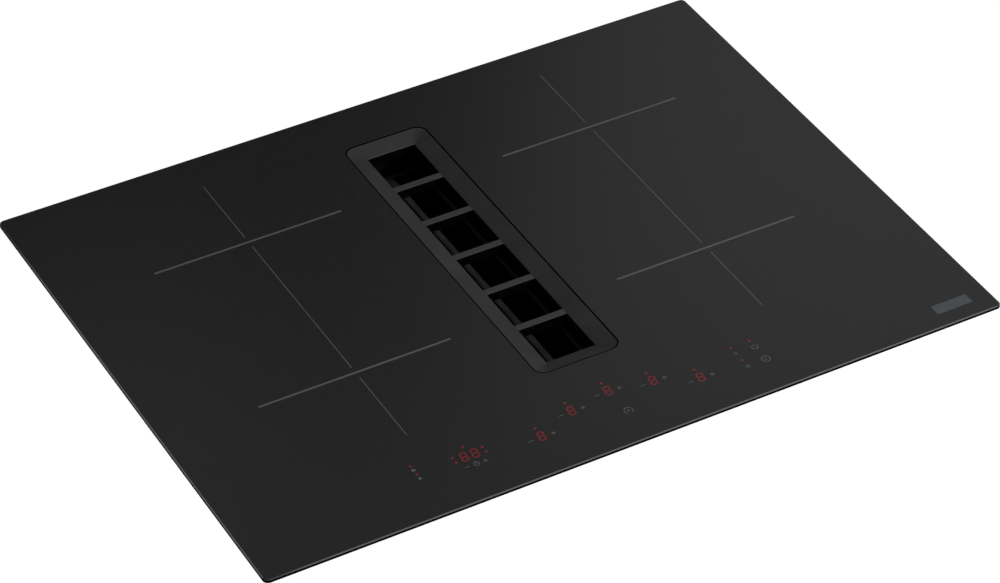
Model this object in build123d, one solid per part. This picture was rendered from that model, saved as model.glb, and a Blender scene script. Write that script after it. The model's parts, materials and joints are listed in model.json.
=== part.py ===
from build123d import *
from math import acos, cos, degrees, radians, sin, sqrt
import os

# Downdraft induction cooktop, in millimetres.
# X runs across the glass, Y from the user to the wall, Z up. The origin is the centre of the
# glass, on the plane of the worktop that the rim seals against.
# Air falls through the grille into the shaft, crosses the grease filter, spreads in the plenum
# under the tray, drops into the fan and leaves through the flat spigot at the back.

# --- Glass and seal -------------------------------------------------------------------------
glass_width = 700.0
glass_depth = 520.0
glass_thick = 4.0
glass_corner_r = 5.0
glass_facet = 0.85          # polished bevel of the upper edge
glass_arris = 0.7           # broken lower edge
gasket_thick = 1.5
gasket_width = 10.0
gasket_inset = 4.0          # from the edge of the glass

# --- Intake opening and grille --------------------------------------------------------------
intake_width = 82.0
intake_depth = 355.0
intake_y = 28.0             # centre of the opening, behind the centre of the glass
intake_corner_r = 11.0
grille_gap = 1.3            # all round, between grille and glass
grille_recess = 0.4        # outer edge of the grille below the glass surface
grille_fall = 4.5          # the dished frame drops this much to the cells
grille_wall = 2.0
grille_height = 14.1       # outer edge down to the skirt's foot
grille_side_band = 16.2     # sloping band beside the cells
grille_end_band = 16.075    # and before the first and after the last
cell_count = 6
bar_width = 7.05
cell_corner_r = 0.6
cell_break = 0.45           # broken upper edge of each cell
pad_thick = 1.0
pad_length = 16.0
pads_per_side = 3

# --- Intake shaft, filter and drip tray -----------------------------------------------------
shaft_wall = 2.0
shaft_ledge = 6.0           # step that the grille stands on
shaft_flange = 8.0          # bonded to the underside of the glass
shaft_depth = 99.5          # glass underside to the shaft's outer floor
shaft_corner_r = 8.0
window_height = 26.0
window_rise = 20.0          # window sill above the shaft's inner floor
insert_gap = 1.0            # filter and drip tray to the shaft walls
drip_height = 18.0
drip_wall = 1.2
drip_rim = 3.0
filter_height = 43.0
filter_rail = 4.0
filter_bar = 6.0            # upright between two mesh windows
spine_width = 7.5
spine_height = 6.0
spine_round = 3.2           # rounded back of the spine
spine_above = 5.0           # spine top above the filter's side rails
spine_foot = 3.0            # thickness where it meets the end walls
spine_end = 34.0            # its level back stops this far inside the basket's end walls
mesh_thick = 1.0
mesh_slots = 4
mesh_slot_height = 3.0

# --- Tray under the glass -------------------------------------------------------------------
tray_width = 550.0
tray_depth = 470.0
tray_height = 49.5          # glass underside to the outer floor
tray_sheet = 1.0
tray_lip = 6.0              # turned in at the top and bonded to the glass
tray_corner_r = 6.0
tray_slope_drop = 17.5      # upright part of the front wall, below the glass
tray_slope_run = 32.0       # then it runs back this far on its way to the floor
tray_boss_r = 4.0
tray_boss_height = 3.0
vent_length = 34.0
vent_width = 3.0
vent_pitch = 7.0
vents_in = 7
vents_out = 8

# --- Induction coils ------------------------------------------------------------------------
coil_x = 171.5
coil_front_y = -70.5
coil_rear_y = 129.5
coil_width = 184.0
coil_depth = 192.0
coil_corner_r = 48.0
coil_band = 60.0
coil_thick = 4.0
coil_turns = 6
groove_width = 1.6
groove_depth = 1.2
mica_thick = 0.6
mica_margin = 3.0
carrier_thick = 3.0
carrier_lip = 1.5
carrier_gap = 0.3
ferrite_length = 56.0
ferrite_width = 12.0
ferrite_thick = 4.0
ferrites_per_coil = 8
ferrite_ring_r = 60.0
sensor_r = 8.0
coil_plate_thick = 1.2
coil_plate_fold = 5.0
support_r = 4.5
support_foot_r = 7.0
support_foot_thick = 2.0

# --- Power electronics ----------------------------------------------------------------------
board_thick = 1.6
board_width = 156.0
board_length = 260.0
board_front_y = -45.0
heatsink_width = 60.0
heatsink_length = 150.0
heatsink_height = 22.0
heatsink_base = 4.0
heatsink_start = 10.0       # from the board's front edge
heatsink_fins = 9
fin_thick = 1.6
part_start = 40.0           # first capacitor and choke, from the board's front edge
part_pitch = 46.0
capacitor_size = (16.0, 32.0, 20.0)
capacitor_round = 1.5
choke_bore_r = 5.0
choke_r = 15.0
choke_height = 16.0
choke_round = 2.0
relay_size = (30.0, 28.0, 16.0)
component_r = 2.0           # corners of moulded components
blower_size = 84.0
blower_height = 28.0
blower_wall = 2.0
blower_y = -93.0
blower_corner_r = 12.0
blower_inlet_r = 27.0
blower_rotor_r = 34.0
blower_blades = 9
blower_pin_r = 2.5
running_gap = 0.05          # shaft in its bore, on the radius

# --- Touch control --------------------------------------------------------------------------
touch_width = 346.0
touch_depth = 48.0
touch_x = -25.0
touch_y = -202.0
touch_carrier_depth = 7.0
touch_wall = 1.5
digit_width = 10.0
digit_depth = 14.0
lamp_r = 1.6
digit_places = [(-76, -215), (-39, -199.3), (0, -192.3), (39.3, -199.3), (76.3, -215)]
lamp_above_digit = 10.7
timer_place = (-138.5, -206.5)
timer_lamp_rise = 11.0
timer_lamp_side = 14.0
timer_lamp_split = 3.25
other_lamps = [(-187, -195.5), (-187, -206.5), (117.8, -195.3), (136.3, -195.3), (117.8, -213.3)]

# --- Mains box ------------------------------------------------------------------------------
mains_x = -203.0
mains_y = 150.0
mains_width = 118.0
mains_depth = 160.0
mains_height = 44.0
mains_wall = 2.0
mains_corner_r = 4.0
peg_r = 3.0
peg_length = 4.0
fan_board_width = 90.0
fan_board_depth = 56.0
fan_board_y = 108.0
driver_size = (12.0, 22.0, 14.0)
terminal_width = 62.0
terminal_depth = 24.0
terminal_height = 20.0
terminal_y = 186.0
terminal_poles = 5
gland_bore_r = 6.5
gland_thread_r = 10.0
gland_nut_r = 14.0
gland_outside = 16.0
gland_inside = 6.0

# --- Plenum under the tray ------------------------------------------------------------------
plenum_left = -130.0
plenum_right = 262.0
plenum_front_top = -185.0
plenum_front_bottom = -130.0
plenum_behind = 20.5        # from the shaft's back wall to the plenum's
plenum_height = 67.0
plenum_sheet = 1.0
plenum_flange = 10.0
plenum_fold_r = 5.0
spout_x = -70.0
spout_y = 30.0
spout_r = 10.0
spout_wall = 1.5
spout_length = 7.0
seal_thick = 2.0
seal_width = 6.0

# --- Fan ------------------------------------------------------------------------------------
fan_x = 138.0
fan_y = 106.0
volute_height = 89.0
volute_wall = 2.0
tongue_r = 93.0             # inside of the scroll at its tongue
scroll_end_r = 138.0        # inside of the scroll where it turns into the outlet
scroll_points = 13
outlet_right = 95.0         # inside of the outlet channel
outlet_width = 218.0
volute_flange = 9.5
volute_flange_thick = 2.5
gusset_shares = (0.12, 0.37, 0.62, 0.87)        # along the scroll, from its tongue
flange_screw_shares = (0.25, 0.5, 0.75, 0.9)
gusset_thick = 2.0
inlet_r = 62.0
inlet_round = 12.0
wheel_r = 85.0
wheel_height = 62.0
wheel_inner_r = 69.0
wheel_plate = 2.0
wheel_top_gap = 9.0         # wheel rim under the volute's top plate
wheel_rim_width = 3.5
blade_count = 36
blade_thick = 1.3
blade_lean = 26.0           # degrees that a blade's tip runs ahead of its root
hub_r = 43.0
hub_height = 30.0
hub_cone = 17.0
hub_flange = 5.0            # the hub's foot, riveted on the wheel's plate
motor_rotor_r = 39.5
motor_rotor_wall = 3.0
motor_rotor_height = 33.0
stator_r = 35.5
stator_height = 24.0
stator_poles = 12
stator_slot = 4.0
shaft_r = 4.0
bearing_r = 11.0
bearing_width = 7.0
bearing_tube_wall = 2.5
bracket_r = 58.0
bracket_thick = 2.0
bracket_hole_r = 7.5        # lightening holes between the mounts
mount_count = 3
mount_ring_r = 48.0
mount_r = 7.0
mount_height = 5.0

# --- Outlet spigot and lower housing --------------------------------------------------------
spigot_reach = 30.0
spigot_corner_r = 12.0
spigot_wall = 2.0
spigot_flange = 6.0
spigot_bead = 0.8           # raised band that seals inside the duct
spigot_bead_width = 3.0
housing_front = -30.0
housing_behind = 16.0       # from the plenum's back wall to the housing's
housing_sheet = 1.0
housing_lap = 15.0          # side walls rise past the plenum's floor
housing_fold_r = 3.0
lap_screw_shares = (0.25, 0.75)
tank_left = -128.0
tank_right = -12.0
tank_rear = 85.0
tank_height = 82.0
tank_wall = 2.0
tank_corner_r = 6.0
tank_front_lip = 2.0
tank_gap = 1.0

# --- Clamps and screws ----------------------------------------------------------------------
clamp_width = 24.0
clamp_sheet = 1.5
clamp_reach = 28.0
clamp_rise = 32.0
clamp_y = 150.0
clamp_screw_r = 2.5
clamp_screw_length = 24.0
screw_r = 2.0
screw_gap = 0.1
screw_length = 4.5
head_r = 3.8
head_height = 2.4

# --- Heights that follow --------------------------------------------------------------------
glass_under = gasket_thick
glass_top_z = glass_under + glass_thick
grille_width = intake_width - 2 * grille_gap
grille_depth = intake_depth - 2 * grille_gap
grille_corner_r = intake_corner_r - grille_gap
cell_width = grille_width - 2 * grille_side_band
cells_length = grille_depth - 2 * grille_end_band
cell_length = (cells_length - (cell_count - 1) * bar_width) / cell_count
grille_top = glass_top_z - grille_recess
grille_inner_z = grille_top - grille_fall
grille_foot = grille_top - grille_height
cell_pitch = cell_length + bar_width
ledge_z = grille_foot - pad_thick
shaft_floor_out = glass_under - shaft_depth
shaft_floor = shaft_floor_out + shaft_wall
shaft_in_width = intake_width - 2 * shaft_ledge
shaft_in_depth = intake_depth - 2 * shaft_ledge
insert_width = shaft_in_width - 2 * insert_gap
insert_depth = shaft_in_depth - 2 * insert_gap
insert_corner_r = shaft_corner_r - shaft_wall - insert_gap
filter_low = shaft_floor + drip_height
filter_rail_top = filter_low + filter_height
spine_top = filter_rail_top + spine_above
tray_floor_out = glass_under - tray_height
tray_floor = tray_floor_out + tray_sheet
mica_low = glass_under - mica_thick
coil_low = mica_low - coil_thick
carrier_low = coil_low - carrier_thick
ferrite_low = carrier_low - ferrite_thick
coil_plate_low = ferrite_low - coil_plate_thick
coil_plate_depth = coil_rear_y - coil_front_y + coil_depth
coil_mid_y = (coil_rear_y + coil_front_y) / 2
board_low = tray_floor + tray_boss_height
board_top = board_low + board_thick
board_y = board_front_y + board_length / 2
touch_board_top = glass_under - lamp_r - 0.4
touch_board_low = touch_board_top - board_thick
mains_top = tray_floor_out
mains_low = mains_top - mains_height
plenum_rear = intake_y + shaft_in_depth / 2 + shaft_wall + plenum_behind
plenum_top = tray_floor_out
plenum_low = plenum_top - plenum_height
plenum_floor = plenum_low + plenum_sheet
volute_top = plenum_low
volute_low = volute_top - volute_height
volute_floor = volute_low + volute_wall
volute_mid = (volute_top + volute_low) / 2
outlet_left = outlet_right - outlet_width
outlet_x = (outlet_left + outlet_right) / 2
wheel_top = volute_top - volute_wall - wheel_top_gap
wheel_low = wheel_top - wheel_height
hub_top = wheel_low + hub_height
bracket_low = volute_floor + mount_height
bracket_top = bracket_low + bracket_thick
rotor_top = hub_top - wheel_plate
rotor_low = rotor_top - motor_rotor_height
bearing_tube_r = bearing_r + bearing_tube_wall
bearing_tube_top = rotor_top - motor_rotor_wall - 1.5
stator_low = rotor_low + 1.5
housing_low = volute_low - housing_sheet
housing_rear = plenum_rear + housing_behind
outlet_y = housing_rear - housing_sheet      # the scroll ends against the housing's back wall
tank_low = volute_low


# --- Shared shapes --------------------------------------------------------------------------
def slab(x_low, x_high, y_low, y_high, z_low, z_high):
    """A block between two corners: pockets, windows and folded strips."""
    centre = ((x_low + x_high) / 2, (y_low + y_high) / 2, (z_low + z_high) / 2)
    return Pos(*centre) * Box(x_high - x_low, y_high - y_low, z_high - z_low)


def plate(width, depth, corner_r, z_low, z_high, x=0.0, y=0.0):
    """A slab with round corners, between two heights."""
    return Pos(x, y, z_low) * extrude(RectangleRounded(width, depth, corner_r), z_high - z_low)


def ring(width, depth, corner_r, band, z_low, z_high, x=0.0, y=0.0, hole_r=None):
    """A rounded frame of an even band width."""
    inner_r = max(corner_r - band, cell_corner_r) if hole_r is None else hole_r
    hole = plate(width - 2 * band, depth - 2 * band, inner_r, z_low, z_high, x, y)
    return plate(width, depth, corner_r, z_low, z_high, x, y) - hole


def disc(radius, z_low, z_high, x=0.0, y=0.0):
    return Pos(x, y, (z_low + z_high) / 2) * Cylinder(radius, z_high - z_low)


def ring_plate(outer_r, inner_r, z_low, z_high):
    return disc(outer_r, z_low, z_high) - disc(inner_r, z_low, z_high)


def turned(points, x=0.0, y=0.0):
    """A profile of (radius, height) points turned about a vertical axis at x, y."""
    profile = Plane.XZ * make_face(Polyline(*points, close=True))
    return Pos(x, y, 0) * revolve(profile, Axis.Z)


def tub(width, depth, corner_r, wall, z_low, z_high, x=0.0, y=0.0):
    """An open box with round corners and an even wall."""
    inside = plate(width - 2 * wall, depth - 2 * wall, corner_r - wall, z_low + wall, z_high, x, y)
    return plate(width, depth, corner_r, z_low, z_high, x, y) - inside


def soft_below(block, radius):
    """Rounds every edge of a block except those of its upper face."""
    rim = block.faces().sort_by(Axis.Z)[-1].edges()
    return fillet([edge for edge in block.edges() if edge not in rim], radius)


def pan_screw(shank_r, length, wide_r, high):
    """A pan-head screw along Z, its head standing on the plane z = 0."""
    return turned([(0, high), (0, -length), (shank_r, -length), (shank_r, 0), (wide_r, 0),
                   (wide_r, high / 2), (wide_r * 0.7, high)])


def cell_ys():
    """Centres of the grille's cells, front to back."""
    first = intake_y - (cell_count - 1) * cell_pitch / 2
    return [first + number * cell_pitch for number in range(cell_count)]


# --- Glass, seal and grille -----------------------------------------------------------------
def glass_top():
    """Ceramic glass with the air opening, a polished bevel above and a broken edge below."""
    sheet = plate(glass_width, glass_depth, glass_corner_r, glass_under, glass_top_z)
    sheet = chamfer(sheet.faces().sort_by(Axis.Z)[-1].edges(), glass_facet)
    sheet = chamfer(sheet.faces().sort_by(Axis.Z)[0].edges(), glass_arris)
    return sheet - plate(intake_width, intake_depth, intake_corner_r, glass_under, glass_top_z, 0, intake_y)


def rim_gasket():
    """Foam strip that seals the glass to the worktop."""
    width = glass_width - 2 * gasket_inset
    depth = glass_depth - 2 * gasket_inset
    return ring(width, depth, glass_corner_r, gasket_width, 0, glass_under)


def dish(top_z):
    """The space over the dished frame: a loft from the outer edge down to the cells."""
    outer = Pos(0, intake_y, top_z) * RectangleRounded(grille_width, grille_depth, grille_corner_r)
    inner = Pos(0, intake_y, top_z - grille_fall) * RectangleRounded(cell_width, cells_length, cell_corner_r)
    return loft([outer, inner], ruled=True)


def cell_bevel(y):
    """A funnel that breaks the upper edge of one cell at 45 degrees."""
    low = Pos(0, y, grille_inner_z - cell_break) * RectangleRounded(cell_width, cell_length, cell_corner_r)
    grow = 4 * cell_break
    high = Pos(0, y, grille_inner_z + cell_break) * RectangleRounded(cell_width + grow, cell_length + grow,
                                                                     cell_corner_r + grow / 2)
    return loft([low, high], ruled=True)


def intake_grille():
    """Dished frame with open cells between flush bars, hollow underneath."""
    body = plate(grille_width, grille_depth, grille_corner_r, grille_foot, grille_top, 0, intake_y)
    body -= dish(grille_top)
    band = (grille_width - cell_width) / 2 - 2 * grille_wall
    hollow = ring(grille_width - 2 * grille_wall, grille_depth - 2 * grille_wall,
                  grille_corner_r - grille_wall, band, grille_foot, grille_top - grille_wall,
                  0, intake_y, hole_r=cell_corner_r + grille_wall)
    body -= hollow - dish(grille_top - grille_wall)
    for y in cell_ys():
        body -= plate(cell_width, cell_length, cell_corner_r, grille_foot, grille_top, 0, y)
        body -= cell_bevel(y)
    return body


def grille_pads():
    """Rubber feet under the long sides of the skirt."""
    pads = []
    for side in (-1, 1):
        x = side * (grille_width - grille_wall) / 2
        for number in range(pads_per_side):
            y = intake_y + (number - (pads_per_side - 1) / 2) * grille_depth / (pads_per_side + 0.2)
            pads.append(plate(grille_wall, pad_length, grille_wall * 0.45, ledge_z, grille_foot, x, y))
    return Compound(pads)


# --- Shaft, filter and drip tray ------------------------------------------------------------
def intake_shaft():
    """Moulded well: flange under the glass, ledge for the grille, windows to the plenum."""
    collar_width = intake_width + 2 * shaft_wall
    collar_depth = intake_depth + 2 * shaft_wall
    collar_r = intake_corner_r + shaft_wall
    flange_width = collar_width + 2 * shaft_flange
    flange_depth = collar_depth + 2 * shaft_flange
    out_width = shaft_in_width + 2 * shaft_wall
    out_depth = shaft_in_depth + 2 * shaft_wall
    body = plate(flange_width, flange_depth, collar_r + shaft_flange, glass_under - shaft_wall, glass_under,
                 0, intake_y)
    body += plate(collar_width, collar_depth, collar_r, ledge_z - shaft_wall, glass_under, 0, intake_y)
    well = plate(out_width, out_depth, shaft_corner_r, shaft_floor_out, ledge_z, 0, intake_y)
    body += fillet(well.faces().sort_by(Axis.Z)[0].edges(), shaft_corner_r * 0.7)
    body -= plate(intake_width, intake_depth, intake_corner_r, ledge_z, glass_under, 0, intake_y)
    bore = plate(shaft_in_width, shaft_in_depth, shaft_corner_r - shaft_wall, shaft_floor, glass_under,
                 0, intake_y)
    body -= fillet(bore.faces().sort_by(Axis.Z)[0].edges(), insert_gap)
    sill = shaft_floor + window_rise
    for y in cell_ys():
        half = cell_length / 2
        body -= slab(-out_width, out_width, y - half, y + half, sill, sill + window_height)
    return body


def shaft_seal():
    """Flat foam seal where the shaft passes through the tray's floor."""
    width = shaft_in_width + 2 * shaft_wall + 2 * seal_width
    depth = shaft_in_depth + 2 * shaft_wall + 2 * seal_width
    return ring(width, depth, shaft_corner_r + seal_width, seal_width, tray_floor_out - seal_thick,
                tray_floor_out, 0, intake_y)


def drip_tray():
    """Pressed pan on the shaft's floor, with a rim that carries the filter."""
    body = tub(insert_width, insert_depth, insert_corner_r, drip_wall, shaft_floor, filter_low, 0, intake_y)
    rim = ring(insert_width, insert_depth, insert_corner_r, drip_rim, filter_low - drip_wall, filter_low,
               0, intake_y)
    return body + rim


def filter_frame():
    """Basket with mesh windows along both sides and a grooved spine to lift it by."""
    body = ring(insert_width, insert_depth, insert_corner_r, filter_rail, filter_low, filter_rail_top,
                0, intake_y)
    for y in cell_ys():
        half = (cell_pitch - filter_bar) / 2
        body -= slab(-insert_width, insert_width, y - half, y + half, filter_low + filter_rail,
                     filter_rail_top - filter_rail)
    return body + filter_spine()


def filter_spine():
    """Rounded carrying bar whose ends slope down to the end walls."""
    reach = insert_depth / 2 - filter_rail / 2
    level = insert_depth / 2 - spine_end
    foot_top = filter_rail_top
    foot_low = foot_top - spine_foot
    spine_low = spine_top - spine_height
    side = Polyline((-reach, foot_low), (-reach, foot_top), (-level, spine_top), (level, spine_top),
                    (reach, foot_top), (reach, foot_low), (level, spine_low), (-level, spine_low), close=True)
    bar = extrude(Plane.YZ * make_face(side), spine_width / 2, both=True)
    return Pos(0, intake_y, 0) * fillet(bar.edges().filter_by(Axis.Y).group_by(Axis.Z)[-1], spine_round)


def filter_mesh():
    """Slotted steel screens that line the basket's long sides, one to each window."""
    x = insert_width / 2 - filter_rail - mesh_thick / 2
    low = filter_low + filter_rail / 2
    high = filter_rail_top - filter_rail / 2
    depth = cell_pitch * cell_count
    pitch = (high - low) / (mesh_slots + 0.5)
    panel = slab(-mesh_thick / 2, mesh_thick / 2, intake_y - depth / 2, intake_y + depth / 2, low, high)
    for y in cell_ys():
        half = (cell_pitch - filter_bar) / 2
        for number in range(mesh_slots):
            z = low + (number + 0.75) * pitch
            panel -= slab(-mesh_thick, mesh_thick, y - half, y + half, z - mesh_slot_height / 2,
                          z + mesh_slot_height / 2)
    return Compound([Pos(side * x, 0, 0) * panel for side in (-1, 1)])


# --- Tray -----------------------------------------------------------------------------------
def board_feet(side):
    """Where the pressed bosses of the tray's floor carry a power board."""
    dx = board_width / 2 - 2 * tray_boss_r
    dy = board_length / 2 - 2 * tray_boss_r
    return [(side * coil_x + a * dx, board_y + b * dy) for a in (-1, 1) for b in (-1, 1)]


def base_tray():
    """Folded sheet tray: sloping front, turned-in lip, vents, bosses and the shaft's opening."""
    front = -tray_depth / 2
    rear = tray_depth / 2
    outline = Polyline((front, glass_under), (front, glass_under - tray_slope_drop),
                       (front + tray_slope_run, tray_floor_out), (rear, tray_floor_out),
                       (rear, glass_under), close=True)
    block = extrude(Plane.YZ * make_face(outline), tray_width / 2, both=True)
    block = soft_below(block, tray_corner_r)
    body = offset(block, -tray_sheet, openings=block.faces().sort_by(Axis.Z)[-1])
    body += ring(tray_width, tray_depth, tray_corner_r, tray_lip, glass_under - tray_sheet, glass_under,
                 hole_r=tray_corner_r)
    hole_width = shaft_in_width + 2 * shaft_wall + 2 * insert_gap
    hole_depth = shaft_in_depth + 2 * shaft_wall + 2 * insert_gap
    body -= plate(hole_width, hole_depth, shaft_corner_r + insert_gap, tray_floor_out, tray_floor, 0, intake_y)
    for side in (-1, 1):
        for x, y in board_feet(side):
            body += disc(tray_boss_r, tray_floor, board_low, x, y)
        for number in range(vents_in):
            x = side * coil_x + (number - (vents_in - 1) / 2) * vent_pitch
            slot = SlotOverall(vent_length, vent_width, rotation=90)
            body -= Pos(x, blower_y, tray_floor_out) * extrude(slot, tray_sheet)
        for number in range(vents_out):
            x = side * coil_x + (number - (vents_out - 1) / 2) * vent_pitch * 2
            high = glass_under - tray_height / 4
            body -= slab(x - vent_width / 2, x + vent_width / 2, rear - tray_sheet, rear,
                         high - tray_height / 2, high)
        for end in (-1, 1):
            z = clamp_screw_z()
            hole = Pos(side * tray_width / 2, end * clamp_y, z) * Rot(0, 90, 0)
            body -= hole * Cylinder(screw_r + screw_gap, 4 * tray_sheet)
    for x, y in plenum_screw_places():
        body -= disc(screw_r + screw_gap, tray_floor_out, tray_floor, x, y)
    return body


# --- Coils ----------------------------------------------------------------------------------
def mica_sheet(side):
    """Insulating sheet between the glass and the two coils of one side."""
    width = coil_width + 2 * mica_margin
    depth = coil_plate_depth + 2 * mica_margin
    return plate(width, depth, tray_corner_r, mica_low, glass_under, side * coil_x, coil_mid_y)


def coil_winding(x, y):
    """Flat winding, with the grooves between its turns on the upper face."""
    body = ring(coil_width, coil_depth, coil_corner_r, coil_band, coil_low, mica_low, x, y,
                hole_r=sensor_r * 1.5)
    pitch = coil_band / coil_turns
    for turn in range(1, coil_turns):
        inset = turn * pitch - groove_width / 2
        corner = max(coil_corner_r - inset, sensor_r * 1.5)
        body -= ring(coil_width - 2 * inset, coil_depth - 2 * inset, corner, groove_width,
                     mica_low - groove_depth, mica_low, x, y, hole_r=corner - groove_width)
    return body


def coil_carrier(x, y):
    """Moulded plate with a lip round the winding and spokes between its openings."""
    width = coil_width + 2 * (carrier_gap + carrier_lip)
    depth = coil_depth + 2 * (carrier_gap + carrier_lip)
    corner = coil_corner_r + carrier_gap + carrier_lip
    body = plate(width, depth, corner, carrier_low, coil_low, x, y)
    body += ring(width, depth, corner, carrier_lip, coil_low, coil_low + coil_thick / 2, x, y)
    for number in range(ferrites_per_coil):
        turn = Rot(0, 0, (number + 0.5) * 360 / ferrites_per_coil)
        opening = extrude(SlotOverall(ferrite_length * 0.7, ferrite_width), coil_low - carrier_low)
        body -= Pos(x, y, carrier_low) * turn * Pos(ferrite_ring_r, 0, 0) * opening
    return body


def coil_places():
    """Coil centres by the words of their node names."""
    places = {}
    for side_name, side in (("left", -1), ("right", 1)):
        for row_name, y in (("front", coil_front_y), ("rear", coil_rear_y)):
            places[row_name + "_" + side_name] = (side * coil_x, y)
    return places


def coil_ferrites():
    """Bars under each coil that lead the field back, set out like spokes."""
    bars = []
    for x, y in coil_places().values():
        for number in range(ferrites_per_coil):
            bar = slab(-ferrite_length / 2, ferrite_length / 2, -ferrite_width / 2, ferrite_width / 2,
                       ferrite_low, carrier_low)
            turn = Rot(0, 0, number * 360 / ferrites_per_coil)
            bars.append(Pos(x, y, 0) * turn * Pos(ferrite_ring_r, 0, 0) * bar)
    return Compound(bars)


def coil_sensors():
    """Temperature sensors, one in the eye of each coil."""
    step = coil_thick / 2
    points = [(0, coil_low), (sensor_r, coil_low), (sensor_r, coil_low + step),
              (sensor_r * 0.6, mica_low), (0, mica_low)]
    return Compound([turned(points, x, y) for x, y in coil_places().values()])


def coil_plate(side):
    """Aluminium screen under two coils, with folded edges and openings for the leads."""
    half = coil_width / 2
    fold_low = coil_plate_low - coil_plate_fold
    inner = half - coil_plate_thick
    section = Polyline((-half, fold_low), (-half, ferrite_low), (half, ferrite_low), (half, fold_low),
                       (inner, fold_low), (inner, coil_plate_low), (-inner, coil_plate_low),
                       (-inner, fold_low), close=True)
    body = extrude(Plane.XZ * make_face(section), coil_plate_depth / 2, both=True)
    body = Pos(side * coil_x, coil_mid_y, 0) * body
    for y in (coil_front_y, coil_rear_y):
        body -= disc(sensor_r, coil_plate_low, ferrite_low, side * coil_x, y)
    return body


def plate_supports():
    """Footed pillars that carry the coil plates over the power boards."""
    points = [(0, tray_floor), (support_foot_r, tray_floor), (support_foot_r, tray_floor + support_foot_thick),
              (support_r, tray_floor + 2 * support_foot_thick), (support_r, coil_plate_low), (0, coil_plate_low)]
    dx = coil_width / 2 - coil_plate_thick - support_r - 1
    dy = coil_plate_depth / 2 - 2 * support_r
    places = [(side * coil_x + a * dx, coil_mid_y + b * dy)
              for side in (-1, 1) for a in (-1, 1) for b in (-1, 1)]
    return Compound([turned(points, x, y) for x, y in places])


# --- Power electronics ----------------------------------------------------------------------
def power_board(side):
    """Inverter board on the tray's bosses."""
    return plate(board_width, board_length, 2 * board_thick, board_low, board_top, side * coil_x, board_y)


def heatsink(side):
    """Finned extrusion down the middle of the board, in the blower's stream."""
    pitch = (heatsink_width - fin_thick) / (heatsink_fins - 1)
    section = Rectangle(heatsink_width, heatsink_base, align=(Align.CENTER, Align.MIN))
    for number in range(heatsink_fins):
        x = (number - (heatsink_fins - 1) / 2) * pitch
        section += Pos(x, 0) * Rectangle(fin_thick, heatsink_height, align=(Align.CENTER, Align.MIN))
    y = board_front_y + heatsink_length / 2 + heatsink_start
    return Pos(side * coil_x, y, board_top) * extrude(Plane.XZ * section, heatsink_length / 2, both=True)


def board_parts(side):
    """Capacitors, chokes and a relay beside the heatsink."""
    x_out = heatsink_width / 2 + (board_width - heatsink_width) / 4
    pieces = []
    width, depth, height = capacitor_size
    rim = choke_r - choke_round
    choke_top = board_top + choke_height
    core = [(choke_bore_r, board_top), (rim, board_top), (choke_r, board_top + choke_round),
            (choke_r, choke_top - choke_round), (rim, choke_top), (choke_bore_r, choke_top)]
    for number in range(3):
        y = board_front_y + part_start + number * part_pitch
        capacitor = plate(width, depth, component_r, board_top, board_top + height, side * coil_x - x_out, y)
        pieces.append(fillet(capacitor.faces().sort_by(Axis.Z)[-1].edges(), capacitor_round))
        pieces.append(turned(core, side * coil_x + x_out, y))
    width, depth, height = relay_size
    relay_y = board_front_y + board_length - part_start
    pieces.append(plate(width, depth, component_r, board_top, board_top + height, side * coil_x, relay_y))
    return Compound(pieces)


def blower_case(side):
    """Flat blower: eye in the floor, round chamber, mouth towards the heatsink, pin for the rotor."""
    low = tray_floor
    high = low + blower_height
    body = plate(blower_size, blower_size, blower_corner_r, low, high)
    chamber_r = blower_size / 2 - blower_wall
    body -= disc(chamber_r, low + blower_wall, high - blower_wall)
    body -= disc(blower_inlet_r, low, low + blower_wall)
    body -= slab(-chamber_r / 2, chamber_r * 0.9, chamber_r / 2, blower_size, low + blower_wall,
                 high - blower_wall)
    body += disc(blower_pin_r, low + 2 * blower_wall, high - blower_wall)
    return Pos(side * coil_x, blower_y, 0) * body


def curved_blade(root_r, tip_r, lean, thick, z_low, z_high):
    """One fan blade: an arc from root to tip with an even thickness."""
    tip = (tip_r * cos(radians(lean)), tip_r * sin(radians(lean)))
    middle = ((root_r + tip_r) / 2 * cos(radians(lean * 0.3)), (root_r + tip_r) / 2 * sin(radians(lean * 0.3)))
    spine = ThreePointArc((root_r, 0), middle, tip)
    start = spine.position_at(0)
    width_way = Vector(0, 0, 1).cross(spine.tangent_at(0)).normalized()
    end_way = Vector(0, 0, 1).cross(spine.tangent_at(1)).normalized()
    mid_way = Vector(0, 0, 1).cross(spine.tangent_at(0.5)).normalized()
    half = thick / 2
    end = spine.position_at(1)
    mid = spine.position_at(0.5)
    one = ThreePointArc(start + width_way * half, mid + mid_way * half, end + end_way * half)
    other = ThreePointArc(end - end_way * half, mid - mid_way * half, start - width_way * half)
    face = make_face([one, Line(one @ 1, other @ 0), other, Line(other @ 1, one @ 0)])
    return Pos(0, 0, z_low) * extrude(face, z_high - z_low)


def blower_rotor(side):
    """Small radial wheel that hangs on the case's pin."""
    high = tray_floor + blower_height - 2 * blower_wall
    low = tray_floor + 2 * blower_wall
    hub_out = 4 * blower_pin_r
    points = [(blower_pin_r + running_gap, low), (hub_out, low), (hub_out, high - blower_wall),
              (blower_rotor_r, high - blower_wall), (blower_rotor_r, high), (blower_pin_r + running_gap, high)]
    body = turned(points)
    for number in range(blower_blades):
        blade = curved_blade(hub_out - 0.5, blower_rotor_r - 0.5, blade_lean, blade_thick, low,
                             high - blower_wall / 2)
        body += Rot(0, 0, number * 360 / blower_blades) * blade
    return Pos(side * coil_x, blower_y, 0) * body


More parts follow.
